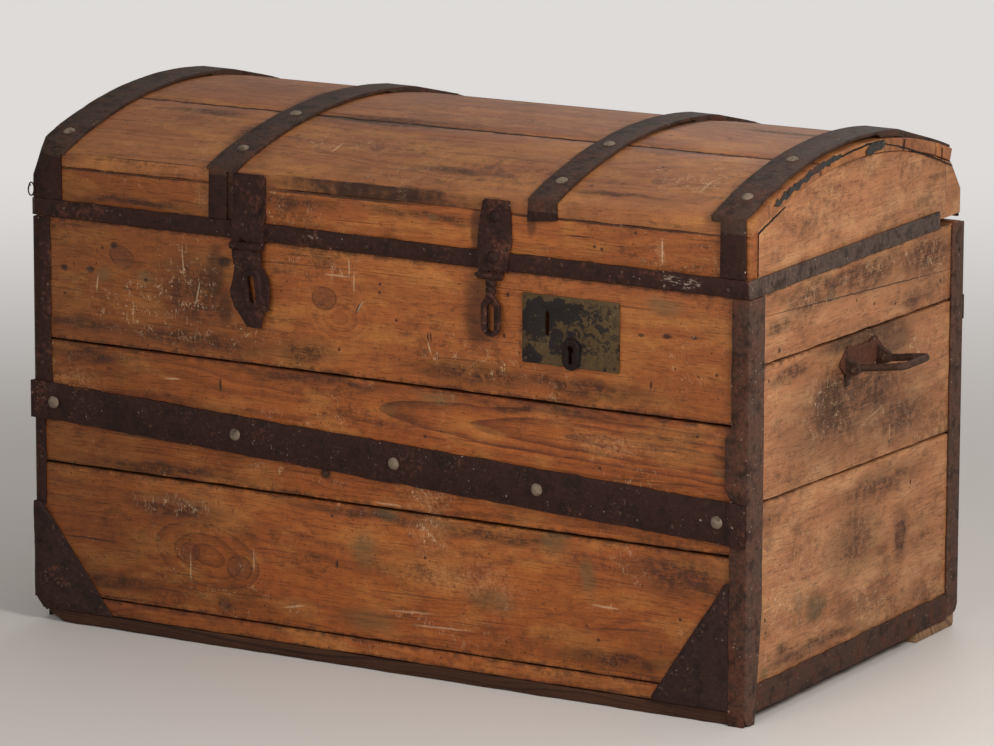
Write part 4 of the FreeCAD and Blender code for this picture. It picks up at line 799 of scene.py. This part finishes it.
def worn_board(node, grain, material, slot, sizes, chips=1.0):
    """A board whose edges are rounded, nicked and no longer straight."""
    piece = merged_copy(node, node + "_worn")
    slice_along(piece, grain, sizes.wood_slice)
    vertex_group(piece, "edges", sharp_vertices(piece))
    displace(piece, "NORMAL", sizes.wood_chips * chips, CHIP_SIZE, "edges", middle=0.9, contrast=1.8)
    bevel(piece, sizes.wood_edge)
    smooth(piece, 35)
    stand_in(piece, material, slot, node)


def sink_rear(piece):
    """Lowers the underside of a strap's rear half, so that no light shows between it and the boards."""
    only(piece)
    for vertex in piece.data.vertices:
        vertex.select = vertex.co.y > STRAP_REAR and vertex.normal.z < -0.25
    bpy.ops.object.mode_set(mode="EDIT")
    bpy.ops.mesh.select_mode(type="VERT")
    bpy.ops.transform.translate(value=(0, 0, -STRAP_SINK))
    close_mesh()


def near(axis, level, reach=TOUCH):
    """A test of a place: does it lie near a level of an axis?"""
    index = "XYZ".index(axis)
    return lambda place: abs(place[index] - level) < reach


def above(level):
    """A test of a place: does it lie above a level?"""
    return lambda place: place.z > level


def forged(node, material, sizes, along, wander, sunk=False):
    """A strap or plate whose edges wander as hammered iron does.

    wander lists (direction, chosen, share): the vertices for which chosen(place) is true
    move along the direction by up to that share of the usual amount."""
    piece = merged_copy(node, node + "_forged")
    slice_along(piece, along, sizes.iron_slice)
    if sunk:
        sink_rear(piece)
    for number, (direction, chosen, share) in enumerate(wander):
        name = f"wander_{number}"
        vertex_group(piece, name, [vertex.index for vertex in piece.data.vertices if chosen(vertex.co)])
        reach = sizes.iron_wander * share
        displace(piece, direction, reach, BEND_SIZE, name, contrast=1.5)
        displace(piece, direction, reach * 0.6, BLOW_SIZE, name, contrast=1.4)
    bevel(piece, sizes.iron_edge)
    smooth(piece, 35)
    stand_in(piece, material, "dark_iron", node)


def hammered(node, material, sizes, slot="dark_iron", cuts=0, depth=1.0):
    """A small fitting with softened edges and hammer marks; cuts make its mesh finer."""
    piece = merged_copy(node, node + "_forged")
    bevel(piece, sizes.iron_edge)
    open_mesh(piece)
    bpy.ops.mesh.quads_convert_to_tris()
    for _ in range(cuts):
        bpy.ops.mesh.subdivide(number_cuts=1)
    close_mesh()
    displace(piece, "NORMAL", sizes.hammer_depth * depth, HAMMER_SIZE, contrast=1.4)
    smooth(piece, 50)
    stand_in(piece, material, slot, node)


def small_nail(sizes):
    """One small nail head at the origin, facing +Z: a ball cut in half and hammered flat."""
    radius = sizes.small_nail_radius
    only_none()
    bpy.ops.mesh.primitive_uv_sphere_add(segments=12, ring_count=8, radius=radius)
    piece = bpy.context.active_object
    open_mesh(piece)
    bpy.ops.mesh.bisect(plane_co=(0, 0, 0), plane_no=(0, 0, 1), clear_inner=True, use_fill=True)
    bpy.ops.mesh.select_all(action="SELECT")
    bpy.ops.transform.resize(value=(1, 0.93, sizes.small_nail_height / radius),
                             center_override=(0, 0, 0))
    close_mesh()
    displace(piece, "NORMAL", radius * 0.16, radius * 1.2)
    smooth(piece, 50)
    return piece


def on_front(y, size, places):
    """Small nails on a face that looks to the front, at (x, z) in millimetres."""
    return [((x, y, z), (0, -1, 0), size) for x, z in places]


def on_right(x, size, places):
    """Small nails on a face that looks to the right, at (y, z) in millimetres."""
    return [((x, y, z), (1, 0, 0), size) for y, z in places]


def nail_group(name, body, nails, material, sizes):
    """Small nails on one body, as one piece; each is turned on its own axis."""
    pattern = small_nail(sizes)
    copies = []
    for number, (place, outward, size) in enumerate(nails):
        turn = Vector(outward).to_track_quat("Z", "Y").to_matrix().to_4x4()
        spin = Matrix.Rotation(number * NAIL_SPIN, 4, "Z")
        copy = linked(f"{name}_{number}", pattern.data.copy())
        copy.data.transform(Matrix.Translation(Vector(place) * MM) @ turn @ spin @ Matrix.Scale(size, 4))
        copies.append(copy)
    bpy.data.objects.remove(pattern)
    only(copies[0])
    for copy in copies[1:]:
        copy.select_set(True)
    bpy.ops.object.join()
    piece = bpy.context.view_layer.objects.active
    piece.name = name
    mount(piece, material, "dark_iron", body)


def meshed(name, curve):
    """A new object with the mesh that a curve makes."""
    only(linked(name, curve))
    bpy.ops.object.convert(target="MESH")
    return bpy.context.active_object


def flat_piece(name, outline, x, thickness):
    """A thin flat piece on the right end, cut to an outline in (y, z)."""
    curve = bpy.data.curves.new(name, "CURVE")
    curve.dimensions = "2D"
    curve.fill_mode = "BOTH"
    curve.extrude = thickness / 2
    spline = curve.splines.new("POLY")
    spline.points.add(len(outline) - 1)
    for point, (y, z) in zip(spline.points, outline):
        point.co = (y * MM, z * MM, 0, 1)
    spline.use_cyclic_u = True
    piece = meshed(name, curve)
    piece.data.transform(Matrix(((0, 0, 1, x), (1, 0, 0, 0), (0, 1, 0, 0), (0, 0, 0, 1))))
    return piece


# ---------------------------------------------------------------- the pieces
def board_plan(grain, across, out, tones, late, red, kind="front"):
    light, dark, ochre, ochre_share, film_share = {
        "front": (tones.pine_light, tones.pine_dark, tones.ochre, 0.34, 0.16),
        "lower": (tones.low_light, tones.low_dark, tones.ochre, 0.34, 0.34),
        "end": (tones.end_light, tones.end_dark, tones.pine_worn, 0.42, 0.46),
        "dome": (tones.dome_light, tones.dome_dark, tones.ochre, 0.34, 0.22)}[kind]
    return Board(grain, across, out, light, dark, ochre, ochre_share, film_share, late, red)


def dress_boards(jobs, slot, seed, seed_step, sizes, tones):
    """Wears boards that are given as (node, plan, marks); each has a grain of its own."""
    for number, (node, plan, marks) in enumerate(jobs):
        material = wood(node + "_pine", node, plan, marks, seed + number * seed_step, tones)
        worn_board(node, plan.grain, material, slot, sizes)


def dress_case_boards(sizes, tones):
    quiet = board_plan("X", "Z", "-Y", tones, 0.22, 0.16)
    figured = board_plan("X", "Z", "-Y", tones, 0.46, 0.36, "lower")
    lower = board_plan("X", "Z", "-Y", tones, 0.32, 0.26, "lower")
    back = board_plan("X", "Z", "+Y", tones, 0.3, 0.25)
    jobs = [("front_board_top", quiet, FRONT_TOP), ("front_board_middle", figured, FRONT_MIDDLE),
            ("front_board_lower", lower, FRONT_LOWER), ("front_strip", lower, {})]
    for side, out in (("right", "+X"), ("left", "-X")):
        plan = board_plan("Y", "Z", out, tones, 0.20, 0.16, "end")
        for level, marks in (("top", END_TOP), ("middle", END_MIDDLE), ("lower", END_LOWER)):
            jobs.append((f"{side}_end_board_{level}", plan, marks))
    for level in ("top", "middle", "lower"):
        jobs.append((f"back_board_{level}", back, PLAIN))
    dress_boards(jobs, "old_pine", 0, 3.7, sizes, tones)
    inside = plain_wood("floor_board_pine", tones.end_light, tones.end_dark, 5.0)
    for row in ("front", "middle", "rear"):
        worn_board("floor_board_" + row, "X", inside, "old_pine", sizes)


def dress_base_wood(sizes, tones):
    dark = plain_wood("sill_wood", tones.sill_light, tones.sill_dark, 2.0, "Z")
    worn_board("front_sill", "X", dark, "dark_wood", sizes, 1.6)
    raw = plain_wood("runner_wood", tones.raw_light, tones.raw_dark, 9.0)
    worn_board("rear_runner", "X", raw, "raw_wood", sizes)


def dress_corner_irons(sizes, tones):
    left = iron("left_corner_iron_finish", tones, 1.0, 0.35, 0.8, grey_end=0.15)
    right = iron("right_corner_iron_finish", tones, 2.0, 0.95, 1.0, tones.iron_sheen, grey_end=0.11)
    for row in ("front", "back"):
        for side, metal in (("left", left), ("right", right)):
            node = f"{row}_{side}_corner_iron"
            low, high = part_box(node)
            inner_x = low.x if side == "right" else high.x
            inner_y = low.y if row == "back" else high.y
            forged(node, metal, sizes, "Z",
                   [("X", near("X", inner_x, CORNER_EDGE), 1.0), ("Y", near("Y", inner_y), 0.8)])


def dress_base_irons(sizes, tones):
    metal = iron("base_iron_finish", tones, 4.0, 0.7, 0.5, tones.iron_sheen)
    for side in ("left", "right"):
        low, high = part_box(side + "_base_strap")
        forged(side + "_base_strap", metal, sizes, "Y",
               [("Z", near("Z", high.z), 1.0), ("Z", near("Z", low.z), 0.8)])
        skin = iron(side + "_gusset_finish", tones, 6.0, 0.15, 0.5, tones.iron_gusset)
        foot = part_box(side + "_gusset")[0].z + 0.004
        forged(side + "_gusset", skin, sizes, "Z", [("X", above(foot), 0.7)])


def dress_case_bands(sizes, tones):
    metal = iron("band_finish", tones, 8.0, 0.20, 1.0)
    for node, share in (("front_band", 1.0), ("back_band", 0.9)):
        forged(node, metal, sizes, "X", [("Z", lambda place: True, share)])


def dress_lock(sizes, tones):
    brass = aged_brass("lock_brass", tones, LOCK_MARKS)
    hammered("lock_plate", brass, sizes, "aged_brass", 1, 0.6)
    boss = iron("escutcheon_finish", tones, 11.0, 0.0, 0.6, tones.iron_black)
    hammered("keyhole_escutcheon", boss, sizes, "aged_brass", 1, 0.8)
    plain = iron("lock_iron", tones, 12.0, 0.3, 0.2)
    for node in ("lock_case", "lock_bolt"):
        paint(frame["nodes"][node], plain)


def dress_handles(sizes, tones):
    metal = iron("handle_finish", tones, 14.0, 0.6, 0.8, tones.iron_sheen)
    plate = iron("handle_plate_finish", tones, 15.0, 1.1, 1.0, tones.iron_brown)
    for side in ("left", "right"):
        hammered(side + "_handle_plate", plate, sizes, cuts=3)
        hammered(side + "_handle_bail", metal, sizes, depth=0.8)
    hammered("handle_eyes", metal, sizes, cuts=2)


def dress_hinges(sizes, tones):
    metal = iron("hinge_finish", tones, 17.0, 0.5, 0.5)
    for side in ("left", "right"):
        hammered(side + "_hinge_leaf", metal, sizes, cuts=1, depth=0.5)
    paint(frame["nodes"]["hinge_pins"], iron("pin_iron", tones, 18.0, 0.3, 0.2))


def dress_lid_boards(sizes, tones):
    rail = board_plan("X", "Z", "-Y", tones, 0.28, 0.2)
    dome = board_plan("X", "Y", "+Z", tones, 0.34, 0.2, "dome")
    jobs = [("lid_front_rail", rail, LID_FRONT), ("dome_board_front", dome, DOME_FRONT),
            ("dome_board_crown", dome, DOME_CROWN), ("dome_board_rear", dome, {}),
            ("dome_board_back", dome, {})]
    for node, grain, out in (("lid_back_rail", "X", "+Y"), ("right_lid_panel", "Y", "+X"),
                             ("left_lid_panel", "Y", "-X")):
        jobs.append((node, board_plan(grain, "Z", out, tones, 0.18, 0.12, "end"), {}))
    dress_boards(jobs, "lid_pine", 50, 2.9, sizes, tones)


def torn_foot(place):
    """The broken end of the right hinge band's front leg."""
    return place.y < -0.276 and place.z < 0.585


def dress_lid_bands(sizes, tones):
    # above LEG_TOP the straps over the dome take the iron_sheen colour, partly a painted sheen
    metal = iron("lid_band_finish", tones, 21.0, 0.5, 0.8, tones.iron_sheen, LEG_TOP)
    for node in ("left_end_band", "left_hinge_band", "right_hinge_band", "right_end_band"):
        wander = [("X", above(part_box(node)[0].z + 0.012), 0.8)]
        if node == "right_hinge_band":
            wander.append(("Z", torn_foot, 3.0))
        forged(node, metal, sizes, "Y", wander, sunk=True)


def dress_edge_band(sizes, tones):
    metal = iron("edge_band_finish", tones, 24.0, 0.35, 0.8, streaks=BAND_STREAKS, grey_end=0.28)
    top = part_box("lid_edge_band")[1].z
    forged("lid_edge_band", metal, sizes, "X", [("Z", above(top - TOUCH), 0.8)])


def dress_hasps(sizes, tones):
    metal = iron("hasp_finish", tones, 27.0, 0.45, 0.7)
    for node, cuts in (("left_hasp_plate", 2), ("right_hasp_plate", 2), ("left_hasp_leaf", 2),
                       ("right_hasp_hook", 0)):
        hammered(node, metal, sizes, cuts=cuts, depth=0.8)
    paint(frame["nodes"]["hasp_pins"], iron("hasp_pin_iron", tones, 28.0, 0.3, 0.2))


def dress_domed_nails(sizes, tones):
    """The lid's nails are dark below the top of its front rail, where the hasp plates are."""
    rail_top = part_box("lid_front_rail")[1].z
    for name, seed, dark_below in (("lid", 31.0, rail_top), ("case", 32.0, None)):
        metal = iron(name + "_nail_finish", tones, seed, 0.1, 0.9, tones.nail, dark_below)
        hammered(name + "_domed_nails", metal, sizes, depth=0.9)


def box_mm(node):
    """The low and high corners of a node's box, in millimetres."""
    return [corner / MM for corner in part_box(node)]


def add_small_nails(sizes, tones):
    # the many pale flecks on the small nails are painted glints
    metal = iron("small_nail_finish", tones, 34.0, 0.3, 1.2, tones.iron_sheen)
    low, high = box_mm("front_right_corner_iron")
    iron_y, iron_x = low.y, high.x
    case = on_front(iron_y, 0.9, (
        (487, 469), (487, 438), (487, 410), (489, 340), (486, 300), (488, 160), (487, 95), (488, 40),
        (-489, 480), (-488, 410), (-489, 330), (-492, 210)))
    case += on_right(iron_x, 0.9, (
        (-262, 486), (-258, 402), (-264, 310), (-257, 214), (-263, 120), (-260, 52), (268, 480), (270, 330),
        (267, 200), (269, 70)))
    # two rows of seven and six nails go down the slopes of the gussets
    gusset_y = box_mm("right_gusset")[0].y
    case += on_front(gusset_y, 0.8, [(475 - 98 * share, 169 - 151 * share)
                                     for share in (0.06, 0.20, 0.34, 0.48, 0.62, 0.76, 0.90)])
    case += on_front(gusset_y, 0.8, [(-498 + 100 * share, 149 - 132 * share)
                                     for share in (0.22, 0.36, 0.50, 0.64, 0.78, 0.92)])
    case += on_front(gusset_y, 0.75, ((452, 60), (440, 110), (418, 36), (-470, 50), (-456, 70)))
    low, high = box_mm("lock_plate")
    case += on_front(low.y, 0.75, [(x, z) for x in (low.x + 5, high.x - 5) for z in (low.z + 5, high.z - 5)])
    case += on_front(low.y, 1.0, [(314, 480)])
    case += on_front(BAND_FACE, 0.8, ((-430, 289), (-330, 268), (100, 268), (330, 240), (400, 232)))
    case += on_front(box_mm("front_board_middle")[0].y, 1.6, [(-80, 238)])
    case += on_right(iron_x, 0.9, [(y, 34 - y * 0.01) for y in (-200, -90, 40, 170)])
    nail_group("case_small_nails", "case", case, metal, sizes)

    low, high = box_mm("lid_edge_band")
    level = (low.z + high.z) / 2
    lid = on_front(low.y, 0.85, [(x, level + rise) for x, rise in (
        (-440, 2), (-372, 1), (-300, 3), (-110, 1), (-20, -2), (60, 3), (248, 4), (329, 4), (427, 0),
        (470, -2))])
    lid += on_right(high.x, 0.85, [(y, level) for y in (-230, -120, -10, 100, 190)])
    plate_y = box_mm("left_hasp_plate")[1].y - 4
    lid += on_front(plate_y, 0.9, [(-191, 549)])
    lid += on_front(plate_y - 4, 0.9, [(-193, 534)])
    nail_group("lid_small_nails", "lid", lid, metal, sizes)


def add_peeled_iron(sizes, tones):
    """What is left of an iron skin along the dome's right end, and the joints that have opened."""
    metal = iron("peeled_finish", tones, 44.0, 0.35, 1.0, tones.iron_torn)
    dark = iron("joint_finish", tones, 46.0, 0.0, 0.0, tones.iron_black)
    board_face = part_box("dome_board_front")[1].x
    panel_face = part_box("right_lid_panel")[1].x
    for number, outline in enumerate(PEELED):
        piece = flat_piece(f"peeled_iron_{number}", outline, board_face + 0.0005, 0.0016)
        slice_along(piece, "Y", 0.004)
        displace(piece, "Z", 0.0045, 0.005, contrast=1.8)
        displace(piece, "X", 0.0012, 0.010)
        mount(piece, metal, "dark_iron", "lid")
    joints = [(outline, board_face) for outline in BOARD_JOINTS]
    joints += [(outline, panel_face) for outline in PANEL_JOINTS]
    for number, (outline, face) in enumerate(joints):
        piece = flat_piece(f"open_joint_{number}", outline, face + 0.0001, 0.0005)
        slice_along(piece, "Y", 0.008)
        displace(piece, "Z", 0.0022, 0.012)
        mount(piece, dark, "dark_iron", "lid")


def add_wire(sizes, tones):
    """A scrap of binding wire in a narrowing curl at the left end of the lid."""
    curve = bpy.data.curves.new("curled_wire", "CURVE")
    curve.dimensions = "3D"
    curve.bevel_depth = sizes.wire_radius
    curve.bevel_resolution = 2
    spline = curve.splines.new("NURBS")
    spline.points.add(WIRE_POINTS - 1)
    for number, point in enumerate(spline.points):
        share = number / (WIRE_POINTS - 1)
        angle = share * 2.6 * math.pi
        radius = (6.0 - 2.4 * share) * MM
        point.co = (-0.5000 - radius * math.cos(angle) * 0.8, -0.2825 - share * 0.004,
                    0.547 + radius * 1.6 * math.sin(angle), 1.0)
    spline.order_u = 3
    spline.use_endpoint_u = True
    mount(meshed("curled_wire", curve), iron("wire_iron", tones, 40.0, 0.2, 0.8), "dark_iron", "lid")


# ---------------------------------------------------------------- the stage
CAMERA_PLACE = (4.0033, -6.9330, 2.0960)
CAMERA_AZIMUTH, CAMERA_ELEVATION, CAMERA_ROLL = 30.01, 12.52, 0.19
CAMERA_LENS = 239.94
# where the floor starts to fade into the backdrop, and where it has
FLOOR_NEAR, FLOOR_FAR = 0.9, 3.2
WHITE = (1.0, 1.0, 1.0)
# each lamp's name, place, aim, sides, power and colour
LAMPS = (
    ("key", (2.1, -0.95, 1.5), (0.15, -0.1, 0.3), (0.7, 0.7), 38.0, (1.0, 0.985, 0.96)),
    ("fill", (0.1, -3.2, 1.7), (0.1, 0, 0.3), (1.6, 1.2), 30.0, WHITE),
    ("top", (0.4, 0.9, 3.6), (0, 0, 0.3), (3.0, 2.4), 16.0, WHITE),
    ("back", (-0.6, 4.2, 2.6), (0, 0, 0.3), (3.0, 1.6), 34.0, WHITE),
)
WORLD_STRENGTH = 0.27


def area_lamp(name, place, aim, sides, power, tint):
    lamp = bpy.data.lights.new(name, "AREA")
    lamp.shape = "RECTANGLE"
    lamp.size, lamp.size_y = sides
    lamp.energy = power
    lamp.color = tint
    holder = linked(name, lamp)
    holder.location = place
    holder.rotation_euler = (Vector(aim) - Vector(place)).to_track_quat("-Z", "Y").to_euler()


def pale_floor(tones):
    """A pale floor that keeps the trunk's shadow and looks evenly light further off."""
    recipe = Recipe("pale_floor")
    shader = recipe.node("ShaderNodeBsdfPrincipled", sockets={
        "Base Color": (*tones.floor, 1.0), "Roughness": 0.52, "Specular IOR Level": 0.16})
    glow = recipe.node("ShaderNodeEmission", sockets={"Color": (*tones.backdrop, 1.0), "Strength": 1.0})
    far = recipe.step(recipe.size_of(recipe.place), FLOOR_NEAR, FLOOR_FAR)
    path = recipe.node("ShaderNodeLightPath")
    seen = Value(recipe, path.outputs["Is Camera Ray"]).higher(Value(recipe, path.outputs["Is Glossy Ray"]))
    both = recipe.node("ShaderNodeMixShader", sockets={
        0: far * seen, 1: shader.outputs[0], 2: glow.outputs[0]})
    output = recipe.node("ShaderNodeOutputMaterial")
    recipe.tree.links.new(both.outputs[0], output.inputs["Surface"])
    return recipe.material


def set_stage(sizes, tones):
    scene = bpy.context.scene
    only_none()
    bpy.ops.mesh.primitive_plane_add(size=2 * sizes.floor_half, location=(0, 0, 0))
    floor = bpy.context.active_object
    floor.name = "floor"
    floor.data.materials.append(pale_floor(tones))

    camera = bpy.data.cameras.new("camera")
    camera.lens = CAMERA_LENS
    camera.sensor_width = 36.0
    camera.clip_end = 200.0
    scene.camera = linked("camera", camera)
    turn = (Matrix.Rotation(math.radians(CAMERA_AZIMUTH), 4, "Z")
            @ Matrix.Rotation(math.radians(90 - CAMERA_ELEVATION), 4, "X")
            @ Matrix.Rotation(math.radians(CAMERA_ROLL), 4, "Z"))
    scene.camera.matrix_world = Matrix.Translation(CAMERA_PLACE) @ turn

    for lamp in LAMPS:
        area_lamp(*lamp)
    scene.world = bpy.data.worlds.new("world")
    scene.world.use_nodes = True
    background = scene.world.node_tree.nodes["Background"]
    background.inputs["Color"].default_value = (*WHITE, 1.0)
    background.inputs["Strength"].default_value = WORLD_STRENGTH
    scene.view_settings.view_transform = "Standard"


# ---------------------------------------------------------------- operators and panel
def run(step, context):
    """Runs one step with the sizes and colours of the scene."""
    step(context.scene.trunk_sizes, context.scene.trunk_colours)
    return {"FINISHED"}


class TRUNK_OT_case_boards(bpy.types.Operator):
    """Wear the boards of the case and give them old pine"""
    bl_idname = "trunk.case_boards"
    bl_label = "Case boards"

    def execute(self, context):
        return run(dress_case_boards, context)


class TRUNK_OT_base_wood(bpy.types.Operator):
    """Finish the sill under the front and the runner under the back"""
    bl_idname = "trunk.base_wood"
    bl_label = "Sill and runner"

    def execute(self, context):
        return run(dress_base_wood, context)


class TRUNK_OT_corner_irons(bpy.types.Operator):
    """Forge the four corner irons"""
    bl_idname = "trunk.corner_irons"
    bl_label = "Corner irons"

    def execute(self, context):
        return run(dress_corner_irons, context)


class TRUNK_OT_base_irons(bpy.types.Operator):
    """Forge the base straps and the gussets"""
    bl_idname = "trunk.base_irons"
    bl_label = "Base straps and gussets"

    def execute(self, context):
        return run(dress_base_irons, context)


class TRUNK_OT_case_bands(bpy.types.Operator):
    """Forge the bands across the front and the back"""
    bl_idname = "trunk.case_bands"
    bl_label = "Front and back bands"

    def execute(self, context):
        return run(dress_case_bands, context)


class TRUNK_OT_lock(bpy.types.Operator):
    """Finish the lock plate, its escutcheon and the lock behind it"""
    bl_idname = "trunk.lock"
    bl_label = "Lock"

    def execute(self, context):
        return run(dress_lock, context)


class TRUNK_OT_handles(bpy.types.Operator):
    """Forge the handle plates, eyes and bails"""
    bl_idname = "trunk.handles"
    bl_label = "Handles"

    def execute(self, context):
        return run(dress_handles, context)


class TRUNK_OT_hinges(bpy.types.Operator):
    """Forge the hinge leaves and finish their pins"""
    bl_idname = "trunk.hinges"
    bl_label = "Hinges"

    def execute(self, context):
        return run(dress_hinges, context)


class TRUNK_OT_lid_boards(bpy.types.Operator):
    """Wear the boards of the lid and give them old pine"""
    bl_idname = "trunk.lid_boards"
    bl_label = "Lid boards"

    def execute(self, context):
        return run(dress_lid_boards, context)


class TRUNK_OT_lid_bands(bpy.types.Operator):
    """Forge the four straps over the dome"""
    bl_idname = "trunk.lid_bands"
    bl_label = "Lid bands"

    def execute(self, context):
        return run(dress_lid_bands, context)


class TRUNK_OT_edge_band(bpy.types.Operator):
    """Forge the strap round the lid's lower edge"""
    bl_idname = "trunk.edge_band"
    bl_label = "Edge band"

    def execute(self, context):
        return run(dress_edge_band, context)


class TRUNK_OT_hasps(bpy.types.Operator):
    """Forge the two hasps, the slotted leaf and the twisted hook"""
    bl_idname = "trunk.hasps"
    bl_label = "Hasps"

    def execute(self, context):
        return run(dress_hasps, context)


class TRUNK_OT_domed_nails(bpy.types.Operator):
    """Hammer the large domed nails"""
    bl_idname = "trunk.domed_nails"
    bl_label = "Domed nails"

    def execute(self, context):
        return run(dress_domed_nails, context)


class TRUNK_OT_small_nails(bpy.types.Operator):
    """Drive the small nails through the irons"""
    bl_idname = "trunk.small_nails"
    bl_label = "Small nails"

    def execute(self, context):
        return run(add_small_nails, context)


class TRUNK_OT_wire(bpy.types.Operator):
    """Curl a scrap of wire round the left end of the lid"""
    bl_idname = "trunk.wire"
    bl_label = "Loose wire"

    def execute(self, context):
        return run(add_wire, context)


class TRUNK_OT_peeled_iron(bpy.types.Operator):
    """Lay the peeled iron and the open joints on the right end of the dome"""
    bl_idname = "trunk.peeled_iron"
    bl_label = "Peeled iron"

    def execute(self, context):
        return run(add_peeled_iron, context)


class TRUNK_OT_stage(bpy.types.Operator):
    """Lay the pale floor and set the lamps and the camera"""
    bl_idname = "trunk.stage"
    bl_label = "Stage"

    def execute(self, context):
        return run(set_stage, context)


OPERATORS = (TRUNK_OT_case_boards, TRUNK_OT_base_wood, TRUNK_OT_corner_irons, TRUNK_OT_base_irons,
             TRUNK_OT_case_bands, TRUNK_OT_lock, TRUNK_OT_handles, TRUNK_OT_hinges, TRUNK_OT_lid_boards,
             TRUNK_OT_lid_bands, TRUNK_OT_edge_band, TRUNK_OT_hasps, TRUNK_OT_domed_nails,
             TRUNK_OT_small_nails, TRUNK_OT_wire, TRUNK_OT_peeled_iron, TRUNK_OT_stage)


class TRUNK_PT_panel(bpy.types.Panel):
    """Steps that dress the trunk, with their sizes and colours"""
    bl_idname = "TRUNK_PT_panel"
    bl_label = "Dome top trunk"
    bl_space_type = "VIEW_3D"
    bl_region_type = "UI"
    bl_category = "Trunk"

    def draw(self, context):
        for operator in OPERATORS:
            self.layout.operator(operator.bl_idname)
        for group in (context.scene.trunk_sizes, context.scene.trunk_colours):
            for name in group.bl_rna.properties.keys():
                if name not in ("rna_type", "name"):
                    self.layout.prop(group, name)


CLASSES = (TrunkSizes, TrunkColours, *OPERATORS, TRUNK_PT_panel)


def register():
    for one in CLASSES:
        bpy.utils.register_class(one)
    bpy.types.Scene.trunk_sizes = bpy.props.PointerProperty(type=TrunkSizes)
    bpy.types.Scene.trunk_colours = bpy.props.PointerProperty(type=TrunkColours)


def unregister():
    del bpy.types.Scene.trunk_colours
    del bpy.types.Scene.trunk_sizes
    for one in reversed(CLASSES):
        bpy.utils.unregister_class(one)


def main():
    register()
    only_none()
    bpy.ops.trunk.case_boards()
    bpy.ops.trunk.base_wood()
    bpy.ops.trunk.corner_irons()
    bpy.ops.trunk.base_irons()
    bpy.ops.trunk.case_bands()
    bpy.ops.trunk.lock()
    bpy.ops.trunk.handles()
    bpy.ops.trunk.hinges()
    bpy.ops.trunk.lid_boards()
    bpy.ops.trunk.lid_bands()
    bpy.ops.trunk.edge_band()
    bpy.ops.trunk.hasps()
    bpy.ops.trunk.domed_nails()
    bpy.ops.trunk.small_nails()
    bpy.ops.trunk.wire()
    bpy.ops.trunk.peeled_iron()
    bpy.ops.trunk.stage()


if __name__ == "__main__":
    main()
